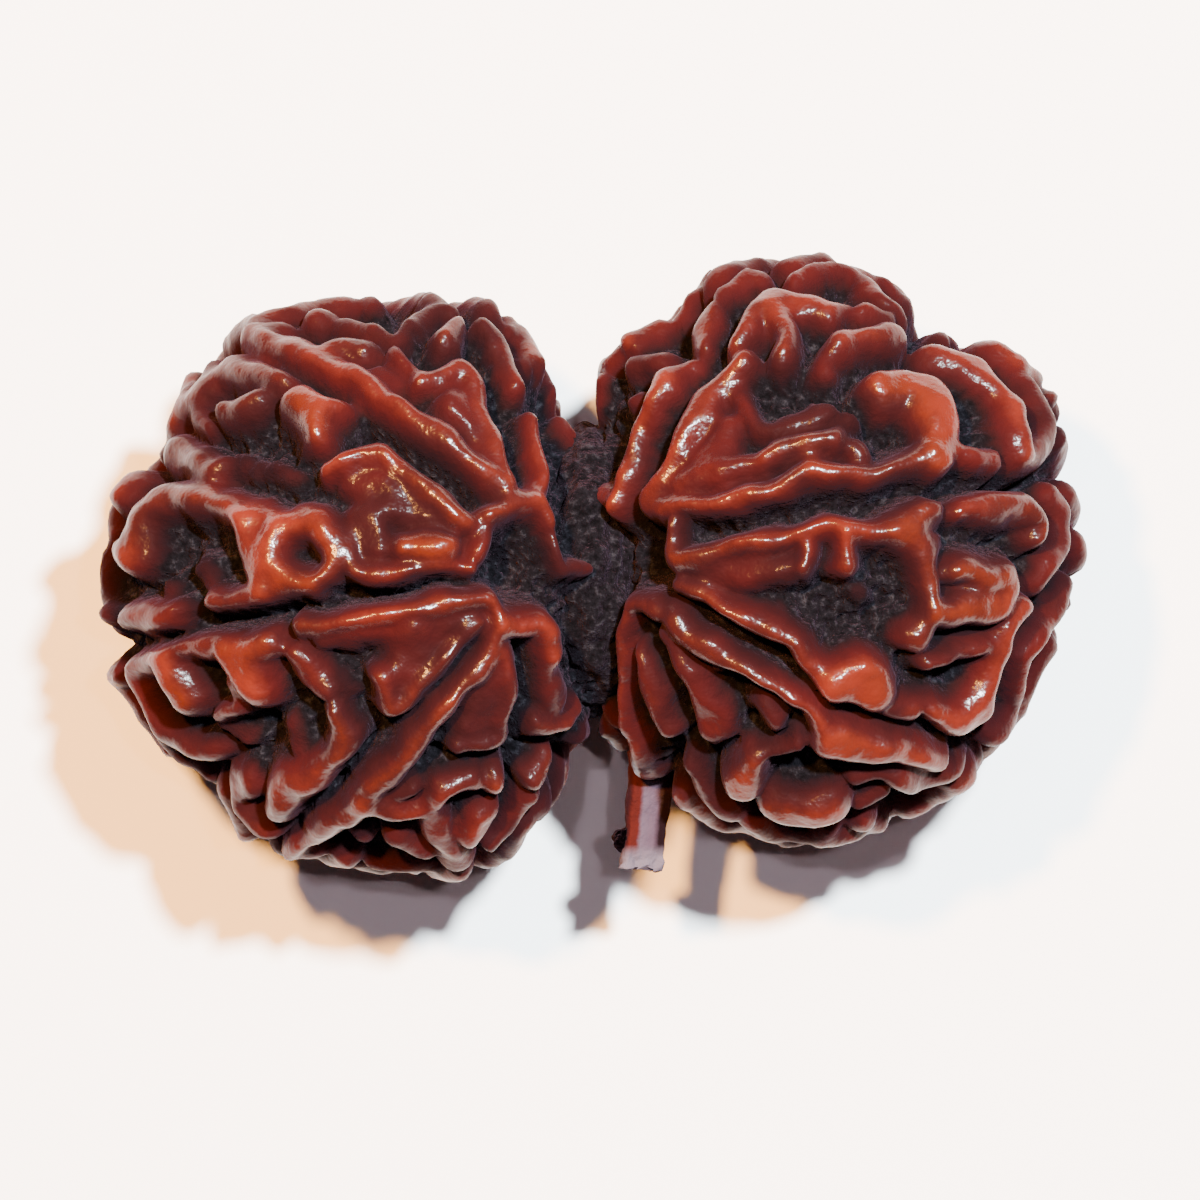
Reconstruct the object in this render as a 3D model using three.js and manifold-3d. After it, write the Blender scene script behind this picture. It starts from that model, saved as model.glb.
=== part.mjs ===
// Twin rudraksha stone: two round netted fruit stones grown together, dried, oiled and glossy.
// Millimetres, +Z up, x along the pair, resting on one small flat under each stone.
// The pair is seen from above in the photograph, so ridge points are given as x, y from above.
import * as THREE from 'three';
import { mergeVertices } from 'three/addons/utils/BufferGeometryUtils.js';
import Module from 'manifold-3d';

// Each stone is an uneven ellipsoid that carries the ridge crests. "outline" is its radius from
// above every 15 degrees from +x, "facing" the x direction of its neighbour, "innerTop" its half
// width towards the neighbour high up, and "size" the radius that spaces the hidden ridges.
const LEFT_STONE = {
  centre: [-7.6, -0.5, 10.8],
  outline: [
    8.6, 8.6, 8.9, 9.3, 11, 12.4, 12.2, 12.2, 12.9, 12.5, 11.7, 12.8,
    12.9, 12.8, 12.4, 11.6, 12.4, 11.9, 11.9, 12.2, 11.1, 9.7, 9.1, 8.7,
  ],
  innerTop: 11.0,
  tall: 11.2,
  size: 12.0,
  facing: 1,
  pole: [-3.0, 0.3],
  grooveEnds: [[-18.9, -2.7], [-13.6, 9.3], [-4.6, 10.9], [-12.6, -11.2], [-3.9, -11.4]],
  grooves: [
    [[-4.7, -0.3, 0.25], [-9, -0.75, 0.3], [-13, -1.55, 0.35], [-15.8, -1.85, 0.4], [-17.7, -2.6, 0.3]],
    [[-5, 3, 0.25], [-7, 4.9, 0.3], [-8.8, 6, 0.3], [-10, 7.2, 0.4], [-11.5, 8.2, 0.4], [-13, 9, 0.3]],
    [[-3.2, 4.3, 0.25], [-3.6, 6.2, 0.3], [-4.1, 7.8, 0.25], [-4.6, 9.3, 0.25], [-5, 10.2, 0.2]],
    [[-4.4, -1.8, 0.2], [-5.3, -3.2, 0.3], [-6.3, -4.6, 0.3], [-7.7, -6, 0.35], [-9.2, -7.9, 0.4],
      [-10.5, -9.2, 0.4], [-12, -10.8, 0.4]],
    [[-3, -3, 0.3], [-2.75, -3.8, 0.3], [-2.8, -5.7, 0.3], [-3.2, -7.5, 0.3], [-3.5, -9.5, 0.25],
      [-4.2, -10.7, 0.2]],
  ],
  unseenGrooves: [0.35, -0.55],
  seed: 41,
};
const RIGHT_STONE = {
  centre: [8.2, 0.9, 10.4],
  outline: [
    11.5, 11.4, 12.2, 11.7, 10.8, 11.9, 12.3, 12.5, 11.2, 11.5, 10.1, 10,
    9.7, 9.8, 10.2, 11.2, 11.5, 12, 12.3, 11.8, 11.6, 11.4, 11, 11.1,
  ],
  innerTop: 11.0,
  tall: 10.8,
  size: 11.8,
  facing: -1,
  pole: [1.2, 0.6],
  grooveEnds: [[19.0, 3.9], [5.2, 12.3], [15.2, -7.6], [5.4, -10.5]],
  grooves: [
    [[2.9, 1.65, 0.3], [4.5, 1.9, 0.35], [7.3, 2.4, 0.4], [9.7, 2.75, 0.4], [12, 3.1, 0.35],
      [14, 3.75, 0.45], [16.5, 3.85, 0.35], [18, 3.8, 0.2]],
    [[1.7, 3.9, 0.25], [2.5, 6.1, 0.3], [3.4, 7.7, 0.25], [4.3, 9.3, 0.25], [5, 10.7, 0.2],
      [5.6, 11.7, 0.15]],
    [[2.9, -0.95, 0.2], [3.8, -1.6, 0.35], [5.7, -2.8, 0.35], [7, -3.6, 0.35], [8.3, -4.6, 0.3],
      [10, -5.8, 0.3], [12, -6.5, 0.2], [13.7, -7.1, 0.2]],
    [[1.5, -2, 0.2], [1.8, -2.8, 0.2], [2.3, -4.2, 0.2], [3.2, -6.5, 0.25], [4, -8, 0.25],
      [4.8, -9.3, 0.25]],
  ],
  unseenGrooves: [2.4, 3.4, -2.5],
  seed: 77,
};
const RELIEF_DEPTH = 1.9;
const SEAM_DEPTH = 0.5;
const SEAM_SIDE = [0.62, 0.9];
const SEAM_TOP = [0.3, 0.55];
const POLE_PIT_RADIUS = 1.7;
const POLE_PIT_DEPTH = 1.3;
const POLE_PIT_FLOOR = 0.3;
const SHOULDER = 0.36;
const WIDEST_FLANK = 1.0;
const SKIRT = 1.0;
const SKIRT_HEIGHT = 0.58;
const GROOVE_EDGE = 0.35;
const GROOVE_DEPTH = 0.15;
const CORNER_CUTS = 2;
const BLEND_POWER = 7;
const REST_PAD_RADIUS = 2.4;
const PULL_IN = 0.03;
const PULL_IN_SPAN = [0.3, -0.1];

// The hidden ridges: direction heights and angles from the pole in radians, widths in mm
const HIDDEN_BELOW = 0.24;
const HIDDEN_FROM_SEAM = 0.8;
const LIP_SPAN = [0.9, 3.0];
const LIP_STEP = 0.17;
const LIP_OFFSET = [0.9, 0.6];
const LIP_WIDTH = [0.42, 0.36];
const LIP_BREAK_SHARE = 0.2;
const LIP_RISE = [0.85, 0.2];
const LAST_LIP_RISE = 0.95;
const ROW_SPAN = [0.8, 2.9];
const ROW_STEP = 0.235;
const LANE_WIDTH = 3.2;
const LIP_MARGIN = 1.3;
const NET_RISE = [0.8, 0.25];
const ROW_SHIFT = 0.14;
const LINK_UP_TO = 0.36;
const WART_UP_TO = 0.66;
const RING_UP_TO = 0.84;

// Mesh before and after thinning, with the least area and shape of a triangle
const MESH_DETAIL = 38;
const TRIANGLE_COUNT = 11600;
const LENGTH_COST = 1e-4;
const LEAST_AREA = 1e-3;
const LEAST_ALIKE = 0.35;
const LEAST_THICKNESS = 0.12;

// Ridges of the upper side: rise as a share of the relief depth, then x, y and half width.
const LEFT_RIDGES = [
  [1.1, [-7.5, 1.1, 0.5], [-6.7, 1.1, 0.7], [-5.8, 1, 0.45]],
  [0.82, [-5.2, 1.9, 0.4], [-6.9, 2.7, 0.9], [-8.5, 3.4, 1.1], [-9.6, 3.9, 0.6]],
  [0.85, [-8.7, 1.2, 0.7], [-9.2, 2.2, 0.9]],
  [0.95, [-4.9, 0.3, 0.25], [-7.4, 0.15, 0.3], [-9.3, 0.1, 0.4]],
  [1, [-5.2, 2, 0.35], [-6.6, 3.3, 0.4], [-8.3, 5, 0.4], [-9.4, 4.6, 0.4], [-10.7, 4.3, 0.3]],
  [1.05, [-10.5, 1, 0.6], [-11, 2, 0.65], [-12.1, 2.25, 0.65], [-13.1, 1.6, 0.6], [-13.1, 0.3, 0.6],
    [-12.2, -0.2, 0.55], [-11.1, -0.1, 0.5], [-10.5, 0.3, 0.5], [-10.5, 1, 0.6]],
  [0.92, [-9.6, 0.4, 0.4], [-10, 1.6, 0.5]],
  [1, [-12.8, 2.3, 0.5], [-14.2, 2.5, 0.7], [-15.6, 3.2, 0.7], [-17, 3.3, 0.7], [-18, 3, 0.9],
    [-18.6, 2.2, 1], [-18.7, 1.2, 0.9]],
  [1, [-14, 2.3, 0.6], [-13.8, 0.7, 0.5], [-13.4, -0.5, 0.6]],
  [0.95, [-11.2, -0.5, 0.4], [-13.3, -0.7, 0.4], [-14.4, -0.8, 0.35], [-15.4, -1.1, 0.5]],
  [1, [-19.3, 0.8, 0.6], [-18.8, 0.5, 0.4]],
  [0.6, [-16.3, 0.3, 0.4], [-15.9, -0.5, 0.3]],
  [0.95, [-19.2, -1.7, 0.5], [-18.1, -1.8, 0.5], [-16.9, -1.7, 0.4]],
  [0.6, [-17.8, -0.8, 0.4]],
  [1.08, [-11.9, 7, 0.8], [-11.2, 6.5, 1], [-11.2, 5.8, 0.65]],
  [1, [-11.2, 6.6, 0.8], [-10.3, 6.8, 0.6]],
  [0.95, [-17, 6.4, 0.65], [-16.2, 7.5, 0.75], [-15.3, 8.4, 0.7], [-14.2, 8.6, 0.7], [-13.3, 8.2, 0.6],
    [-12.7, 8, 0.6]],
  [0.98, [-15, 6.8, 0.5], [-14.2, 6.8, 0.65], [-13.6, 7.2, 0.45]],
  [0.85, [-16.4, 6.6, 0.5], [-15.9, 6.1, 0.3]],
  [0.95, [-17.2, 5.2, 0.7], [-16.4, 4.7, 0.6], [-15.5, 4.3, 0.6]],
  [0.55, [-15, 4.7, 0.4], [-13.4, 4.5, 0.4], [-12.2, 4.2, 0.3]],
  [1, [-3.7, 3.4, 0.4], [-5.4, 5, 0.4], [-7.2, 6.2, 0.5], [-8.9, 7.4, 0.5], [-9.9, 8.2, 0.7],
    [-11.6, 8.9, 0.7], [-13, 9.5, 0.6], [-14, 9.8, 0.5]],
  [0.85, [-3.9, 4.2, 0.3], [-4.7, 6, 0.7], [-5.4, 7, 1]],
  [0.95, [-3.4, 3.7, 0.3], [-4.2, 5.9, 0.3], [-4.7, 7.6, 0.35], [-5.1, 8.3, 0.4], [-6.2, 8.2, 0.35],
    [-7, 7.9, 0.3]],
  [0.85, [-7, 7.9, 0.25], [-7.6, 8.6, 0.25], [-8.2, 9.2, 0.3]],
  [1, [-6, 9.7, 0.6], [-5.6, 10.3, 0.4]],
  [0.85, [-7.4, 10.3, 0.4], [-6.7, 11, 0.45], [-5.9, 10.9, 0.4]],
  [0.8, [-8.9, 10.1, 0.35], [-8.2, 9.6, 0.3], [-7.6, 10.2, 0.3]],
  [0.95, [-10.8, 9.2, 0.4], [-9.3, 9.3, 0.4]],
  [0.95, [-11.2, 10.5, 0.7]],
  [0.9, [-14.1, 9.9, 0.4], [-12.7, 10.2, 0.4]],
  [0.85, [-10.2, 10.4, 0.4], [-9.2, 10, 0.35]],
  [0.7, [-8.8, 8.6, 0.4], [-8, 8, 0.35]],
  [1, [-4.4, 2.4, 0.3], [-3.3, 2.9, 0.45], [-2.3, 3, 0.55], [-1.9, 2.2, 0.3]],
  [0.95, [-2.2, 3.2, 0.5], [-2.1, 4.6, 0.35], [-2.5, 6.3, 0.35]],
  [0.95, [-3.2, 7.8, 0.45], [-3.6, 9, 0.5], [-4.4, 10.2, 0.55]],
  [0.8, [-2.7, 8.9, 0.45]],
  [0.85, [-1.7, 2, 0.25], [-1.4, 1.1, 0.25], [-1.1, 0.4, 0.25], [-0.6, 0.2, 0.25], [-0.1, 0.35, 0.25]],
  [0.9, [-4.6, 0.9, 0.35], [-4.5, 1.9, 0.35], [-4.2, 2.5, 0.35]],
  [1, [-4.6, -0.9, 0.35], [-6, -1.1, 0.35], [-8, -1.5, 0.35], [-11.8, -2.1, 0.35]],
  [0.8, [-4.9, -1.6, 0.5], [-7, -2.4, 1], [-7.7, -4, 1.1], [-8, -5, 0.8]],
  [0.8, [-7, -2.2, 0.7], [-10.9, -2.6, 0.55]],
  [0.95, [-8.6, -4.1, 0.4], [-8.2, -5.6, 0.45], [-7.3, -5, 0.35], [-6.2, -3.7, 0.3], [-4.7, -2, 0.3]],
  [1.05, [-13.2, -2.7, 0.6], [-14.6, -3, 0.7], [-14, -3.9, 1], [-13.6, -4.6, 0.75]],
  [0.95, [-15, -3, 0.4], [-16.4, -2.9, 0.35], [-17.6, -3.3, 0.35]],
  [1.08, [-17.3, -3.8, 0.8], [-16.6, -5, 0.75]],
  [0.95, [-18, -3.4, 0.4], [-19, -4, 0.6], [-18.3, -5.4, 0.55], [-17.5, -6.7, 0.65],
    [-15.6, -7.3, 0.65]],
  [0.9, [-14.8, -4.4, 0.25], [-14.4, -5.3, 0.3], [-15.3, -5.9, 0.3]],
  [0.92, [-12.2, -3.2, 0.5], [-11.6, -3.8, 0.65], [-10.9, -4.7, 0.5]],
  [0.6, [-10.4, -4.4, 0.4], [-9.9, -5, 0.3]],
  [1, [-10.5, -5.6, 0.4], [-10, -6.4, 0.6], [-10.3, -7.5, 0.6], [-11.5, -8.2, 0.7], [-12.8, -9, 0.8],
    [-13, -9.7, 0.7]],
  [0.65, [-12.4, -6.2, 0.3], [-12.2, -7.3, 0.35]],
  [0.95, [-14.3, -8.4, 0.6], [-14.6, -9.4, 0.6], [-13.6, -10.3, 0.6]],
  [0.6, [-15.4, -6.4, 0.5], [-14.4, -6.9, 0.35]],
  [1, [-3.8, -2.1, 0.5], [-4.5, -3.7, 0.4], [-6, -5.3, 0.4], [-7.3, -6.7, 0.5], [-8.7, -8.3, 0.6],
    [-9.9, -9.5, 0.7], [-11.6, -10.7, 0.6], [-12.3, -11.3, 0.5]],
  [0.8, [-3.7, -3.2, 0.35], [-4.2, -4.9, 0.7], [-4.6, -6.2, 0.9]],
  [0.9, [-3.5, -3, 0.3], [-3.5, -5.5, 0.3], [-3.7, -6.8, 0.3], [-5.3, -7.1, 0.3]],
  [0.95, [-9.6, -9.3, 0.6], [-8.3, -9.6, 0.45], [-7.2, -9.6, 0.35]],
  [0.85, [-8.2, -9.2, 0.3], [-7.4, -8.8, 0.3]],
  [0.95, [-6.6, -9.3, 0.35], [-5.9, -8.7, 0.4], [-4.9, -8.5, 0.35]],
  [1.05, [-4, -8.3, 0.65]],
  [1, [-4.5, -9.9, 0.6], [-5, -10.7, 0.5]],
  [0.85, [-7.9, -10.9, 0.5], [-6.9, -11.5, 0.55]],
  [0.9, [-6.6, -9.8, 0.35], [-6.1, -11, 0.5], [-5.6, -11.9, 0.55]],
  [0.7, [-9.5, -11, 0.5]],
  [0.9, [-4.2, -11.2, 0.4], [-3.2, -10.1, 0.45], [-2.6, -9.1, 0.45]],
  [1, [-4.2, -1, 0.3], [-3.9, -1.8, 0.4], [-3, -2, 0.4], [-2.1, -1.9, 0.4], [-1.6, -3.2, 0.4]],
  [0.85, [-2, -2.6, 0.4], [-1.6, -4.2, 0.6], [-1.4, -5.3, 0.75]],
  [0.95, [-2.3, -6.3, 0.35], [-1.4, -6.1, 0.35], [-0.6, -5.6, 0.3]],
  [1, [-1.9, -7.6, 0.5], [-2.5, -8.4, 0.45]],
];
const RIGHT_RIDGES = [
  [0.95, [-0.3, 3.4, 0.45], [0.3, 2.9, 0.5]],
  [1, [0.4, 2.9, 0.5], [0.9, 4.2, 0.45], [1.2, 5.7, 0.35], [1.8, 6.9, 0.4], [2.5, 7.7, 0.65]],
  [0.9, [2.6, 7.7, 0.6], [3.3, 8.5, 0.35]],
  [0.85, [1, 8.7, 0.5], [2.2, 9, 0.45]],
  [0.75, [0.9, 7.4, 0.4]],
  [0.95, [3.8, 9.3, 0.45], [4.1, 10.5, 0.7]],
  [0.9, [4.7, 11.5, 0.5], [5.7, 12.3, 0.5]],
  [1, [1.7, 2.9, 0.45], [2.7, 4.5, 0.6], [3.5, 6.2, 0.5], [4.4, 7.6, 0.55], [5.6, 8.6, 0.4]],
  [1, [5.3, 9.2, 0.3], [5.9, 10.3, 0.6], [6.8, 11.1, 0.75], [8.2, 11.1, 0.7], [9.2, 10.7, 0.5]],
  [1, [6.9, 10.6, 0.5], [7.2, 9.6, 0.35], [7.1, 8.9, 0.5]],
  [1, [2.2, 2.7, 0.4], [4, 2.75, 0.35], [5.6, 3, 0.35], [7, 3.5, 0.4], [8.2, 4.1, 0.45],
    [10, 3.9, 0.4], [11.5, 4.1, 0.45], [12.9, 4.7, 0.6]],
  [0.8, [3, 3.7, 0.5], [4.1, 4.7, 0.9], [4.6, 5.9, 0.7]],
  [0.88, [2.9, 3.5, 0.4], [4.8, 4.2, 0.55], [6.1, 4.5, 0.5]],
  [0.95, [6.4, 4.7, 0.3], [7.7, 5.3, 0.5], [9.2, 5.4, 0.45]],
  [0.9, [8.2, 4.2, 0.35], [8.2, 5.2, 0.4]],
  [0.9, [10.2, 5, 0.5]],
  [0.7, [9.2, 5.6, 0.35], [9.8, 6.4, 0.3]],
  [0.8, [5.2, 7.6, 0.35], [5.6, 6.5, 0.35], [6.2, 5.9, 0.35], [7.4, 6.1, 0.3], [8.9, 6.6, 0.35]],
  [0.7, [4.2, 6.5, 0.5], [5, 6.2, 0.4]],
  [0.75, [8.8, 8.5, 0.35], [9, 9.3, 0.3]],
  [1, [9.3, 9.3, 0.35], [10.6, 9.7, 0.45], [11.8, 9.7, 0.6]],
  [0.9, [7.8, 12.2, 0.45], [9, 12.6, 0.4], [10.4, 12.3, 0.5], [11, 11.6, 0.5], [11.8, 10.9, 0.4]],
  [0.85, [9.7, 10.9, 0.45]],
  [0.85, [6.3, 12.3, 0.3]],
  [0.9, [10.6, 10.8, 0.4], [11.5, 10.6, 0.4]],
  [1.1, [11.2, 7.4, 0.85], [12.4, 7.7, 0.95], [13.3, 6.7, 1], [13.5, 5.6, 0.8], [13.3, 4.7, 0.7]],
  [0.8, [12.2, 10.5, 0.35]],
  [1, [13.4, 8.9, 0.7], [14.6, 8.6, 0.85], [15.7, 7.9, 0.75], [16.5, 7, 0.55], [16.7, 6, 0.5],
    [16.9, 5, 0.5]],
  [0.9, [16.8, 8.4, 0.4], [17.8, 7.2, 0.4], [18.3, 6, 0.4], [18, 5, 0.45], [17, 4.7, 0.5]],
  [0.9, [14.3, 5, 0.35], [15.2, 4.7, 0.35], [16, 4.6, 0.3]],
  [1, [2.7, 1.9, 0.3], [2.6, 1, 0.35], [2.9, 0.4, 0.45], [5, 0.95, 0.4], [7, 1.4, 0.4],
    [8.7, 1.95, 0.4], [10.2, 1.85, 0.45], [11.6, 1.7, 0.6], [13, 2.5, 0.65]],
  [0.8, [3.8, -0.1, 0.5], [5.8, 0.1, 0.8], [7.3, 0.2, 0.6]],
  [1, [2.9, -0.5, 0.35], [4.6, -1.2, 0.35], [6, -1.9, 0.45], [7.5, -2.6, 0.4], [8.2, -3.6, 0.35],
    [9, -4.2, 0.5]],
  [0.95, [8, 0.2, 0.35], [8.1, 1.1, 0.35]],
  [1, [9.6, 1.4, 0.35], [9.6, 0.3, 0.5]],
  [1, [11.8, 1.6, 0.6], [12.8, 1.4, 0.7], [13.2, -0.2, 0.4], [13.2, -1.5, 0.4], [12.4, -2.7, 0.55]],
  [0.5, [10.3, -0.9, 0.35]],
  [1.1, [9.2, -4.2, 0.75], [10.3, -4.1, 0.95], [10.9, -4.8, 0.7]],
  [0.9, [9.3, -4.8, 0.4], [10.6, -5.2, 0.4], [12.4, -5.8, 0.4]],
  [1.05, [13.3, -1.5, 0.45], [14.6, -1.6, 0.4], [16, -1.2, 0.7], [16.4, -0.4, 0.85], [15.4, 0, 0.6],
    [14.2, 0.1, 0.4]],
  [0.95, [14.3, -1.2, 0.3], [15.4, -0.7, 0.5]],
  [1, [14.3, 2.4, 0.35], [15.5, 2.8, 0.6], [16.7, 2.8, 0.65], [17.7, 2.3, 0.45], [17.5, 1.6, 0.3]],
  [0.9, [18.4, 3.2, 0.5], [18.9, 2.2, 0.55], [18.8, 1.1, 0.5], [18.2, 0.4, 0.5], [17.8, -0.5, 0.4]],
  [0.95, [19, -0.5, 0.5], [18.4, -1.8, 0.45], [17.3, -3, 0.4], [16.9, -4.4, 0.4], [16.8, -5.8, 0.5],
    [15.9, -6.7, 0.5]],
  [1.05, [16.9, -1.4, 0.5], [16, -2.6, 0.55], [15.7, -4.2, 0.6], [15.3, -5.4, 0.85], [14.4, -6, 0.85],
    [13.5, -5.7, 0.55]],
  [0.9, [12.9, -3.6, 0.3], [14.3, -3.3, 0.35], [15.4, -3, 0.4]],
  [0.85, [12.4, -5.6, 0.4], [13.2, -5.5, 0.4]],
  [1, [2.6, -1.7, 0.55], [3.3, -2.7, 0.45], [4.4, -3.3, 0.35], [5.6, -3.8, 0.3], [7, -4.6, 0.3],
    [8.2, -5.4, 0.4], [9.3, -6.5, 0.6]],
  [1.05, [9.3, -6.8, 0.85], [10.5, -6.9, 0.9], [12, -7.1, 0.6], [13.4, -7.7, 0.55]],
  [0.95, [12, -8.4, 0.6], [13.3, -8.6, 0.6], [14.4, -8.1, 0.6]],
  [0.85, [2.4, -2.5, 0.4], [3.3, -4.4, 0.5], [4.1, -5.6, 0.9], [4.4, -6.5, 0.75]],
  [0.6, [4.2, -3.9, 0.3]],
  [0.8, [6.3, -5.5, 0.45], [6.8, -6.2, 0.35]],
  [1.05, [6, -7.6, 0.5], [5.6, -8.5, 0.85]],
  [0.85, [6.5, -7.4, 0.3], [7.8, -7, 0.25]],
  [1.05, [6.9, -9.6, 0.8], [8, -9.8, 0.95], [9.1, -9.6, 0.85]],
  [0.8, [10.2, -8.6, 0.4], [11.3, -8.3, 0.4]],
  [0.8, [10.4, -9.6, 0.4], [11.3, -9.2, 0.4]],
  [0.95, [1.9, -1.5, 0.35], [1.2, -1.3, 0.35], [0.7, -1.5, 0.3], [0.7, -3, 0.3], [0.6, -4.5, 0.22],
    [0.8, -6, 0.25], [1.4, -7.5, 0.35], [1.7, -8.5, 0.4]],
  [0.9, [1.3, -3.2, 0.3], [1.8, -4.8, 0.5], [2.3, -6.4, 0.55]],
  [0.9, [3.4, -7.9, 0.4], [4, -9, 0.5], [5.1, -10, 0.5]],
  [0.8, [5.4, -10.2, 0.5], [6.4, -10.6, 0.5]],
];

// Vector helpers
const subtract = (a, b) => [a[0] - b[0], a[1] - b[1], a[2] - b[2]];
const dot = (a, b) => a[0] * b[0] + a[1] * b[1] + a[2] * b[2];
const cross = (a, b) => [
  a[1] * b[2] - a[2] * b[1],
  a[2] * b[0] - a[0] * b[2],
  a[0] * b[1] - a[1] * b[0],
];
const along = (start, direction, distance) => start.map((value, i) => value + direction[i] * distance);
const unit = (a) => {
  const length = Math.hypot(...a);
  return a.map((value) => value / length);
};
const smoothStep = (low, high, value) => {
  const t = Math.min(1, Math.max(0, (value - low) / (high - low)));
  return t * t * (3 - 2 * t);
};

// Seeded draws between 0 and 1
function drawer(seed) {
  let state = seed >>> 0;
  return () => {
    state = (Math.imul(1664525, state) + 1013904223) >>> 0;
    return state / 4294967296;
  };
}

// Distance from the stone's centre to its crest surface in a direction
function crestRadius(stone, [x, y, z]) {
  const { outline } = stone;
  const flat = Math.hypot(x, y);
  const turn = ((Math.atan2(y, x) / (2 * Math.PI) + 1) % 1) * outline.length;
  const first = Math.floor(turn) % outline.length;
  const next = outline[(first + 1) % outline.length];
  const low = outline[first] + (next - outline[first]) * smoothStep(0, 1, turn - Math.floor(turn));
  const side = smoothStep(0, 0.6, (x * stone.facing) / Math.max(flat, 1e-9));
  const up = Math.max(0, z);
  const belowWidest = smoothStep(...PULL_IN_SPAN, z);
  const reach = (low + (stone.innerTop - low) * up * up * side) * (1 - PULL_IN * belowWidest);
  return 1 / Math.hypot(flat / reach, z / stone.tall);
}

// Point of the crest surface's upper side above a place seen from above
function liftFromAbove(stone, x, y) {
  const dx = x - stone.centre[0];
  const dy = y - stone.centre[1];
  const distance = Math.hypot(dx, dy);
  let low = 0;
  let high = Math.PI / 2;
  let direction = [dx / distance, dy / distance, 0];
  for (let step = 0; step < 40; step += 1) {
    const middle = (low + high) / 2;
    const level = Math.cos(middle);
    direction = [(dx / distance) * level, (dy / distance) * level, Math.sin(middle)];
    if (crestRadius(stone, direction) * level > distance) low = middle;
    else high = middle;
  }
  return along(stone.centre, direction, crestRadius(stone, direction));
}

// Ridges of the hidden side: the grooves run on to the far pole with a lip on both sides,
// and links, warts and rings fill the segments between them.
function hiddenRidges(stone) {
  const draw = drawer(stone.seed);
  const between = ([least, range]) => least + range * draw();
  const pole = unit(subtract(liftFromAbove(stone, ...stone.pole), stone.centre));
  const east = unit(cross([0, 1, 0], pole));
  const north = cross(pole, east);
  const bearing = ([x, y]) => {
    const arm = subtract(liftFromAbove(stone, x, y), stone.centre);
    return Math.atan2(dot(arm, north), dot(arm, east));
  };
  const place = (polar, angle, width) => {
    const flat = along([0, 0, 0], east, Math.sin(polar) * Math.cos(angle));
    const side = along(flat, north, Math.sin(polar) * Math.sin(angle));
    const direction = unit(along(side, pole, Math.cos(polar)));
    const point = along(stone.centre, direction, crestRadius(stone, direction));
    return { direction, point, width };
  };
  const unseen = (spot) => (
    spot.direction[2] < HIDDEN_BELOW && spot.direction[0] * stone.facing < HIDDEN_FROM_SEAM
  );
  const ridges = [];
  const keep = (rise, spots) => {
    let run = [];
    for (const spot of [...spots, null]) {
      if (spot && unseen(spot)) {
        run.push(spot);
      } else {
        if (run.length > 0) {
          ridges.push({ rise, points: run.map((s) => s.point), widths: run.map((s) => s.width) });
        }
        run = [];
      }
    }
  };
  const grooves = [...stone.grooveEnds.map(bearing), ...stone.unseenGrooves].sort((a, b) => a - b);
  const size = stone.size;
  grooves.forEach((start, index) => {
    const end = index + 1 < grooves.length ? grooves[index + 1] : grooves[0] + 2 * Math.PI;
    for (const fromStart of [true, false]) {
      let lip = [];
      for (let polar = LIP_SPAN[0]; polar < LIP_SPAN[1]; polar += LIP_STEP) {
        const offset = between(LIP_OFFSET) / (size * Math.sin(polar));
        const angle = fromStart ? start + offset : end - offset;
        lip.push(place(polar, angle, between(LIP_WIDTH)));
        if (draw() < LIP_BREAK_SHARE) {
          keep(between(LIP_RISE), lip);
          lip = [];
        }
      }
      keep(LAST_LIP_RISE, lip);
    }
    for (let polar = ROW_SPAN[0]; polar < ROW_SPAN[1]; polar += ROW_STEP) {
      const span = (end - start) * size * Math.sin(polar);
      if (span < LANE_WIDTH) continue;
      const edge = LIP_MARGIN / span;
      const lanes = Math.max(1, Math.round((span - 2) / LANE_WIDTH));
      for (let lane = 0; lane < lanes; lane += 1) {
        const from = edge + ((1 - 2 * edge) * lane) / lanes;
        const to = edge + ((1 - 2 * edge) * (lane + 1)) / lanes;
        const across = (share) => start + (end - start) * (from + (to - from) * share);
        const tall = between(NET_RISE);
        const shift = ROW_SHIFT * (draw() - 0.5);
        const kind = draw();
        if (kind < LINK_UP_TO) {
          const bow = 0.16 * (draw() - 0.5);
          keep(tall, [0, 0.35, 0.7, 1].map((share) => {
            const drift = bow * Math.sin(Math.PI * share) + 0.05 * (draw() - 0.5);
            return place(polar + shift + drift, across(share), 0.42 + 0.3 * draw());
          }));
        } else if (kind < WART_UP_TO) {
          const middle = across(0.25 + 0.5 * draw());
          keep(tall, [place(polar + shift, middle, 0.6 + 0.5 * draw())]);
        } else if (kind < RING_UP_TO) {
          const middle = across(0.5);
          const ringRadius = 1.1 + 0.4 * draw();
          keep(tall, [0, 1, 2, 3, 4, 5, 6].map((corner) => {
            const turn = (corner * Math.PI) / 3;
            const angle = middle + (ringRadius * Math.cos(turn)) / (size * Math.sin(polar));
            return place(polar + shift + (ringRadius * Math.sin(turn)) / size, angle, 0.42);
          }));
        } else {
          const middle = across(0.3 + 0.4 * draw());
          const lean = (draw() - 0.5) / size;
          keep(tall, [
            place(polar + shift - 0.1, middle - lean, 0.6),
            place(polar + shift, middle, 0.5 + 0.3 * draw()),
            place(polar + shift + 0.1, middle + 2 * lean, 0.45),
          ]);
        }
      }
    }
  });
  return ridges;
}

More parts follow.
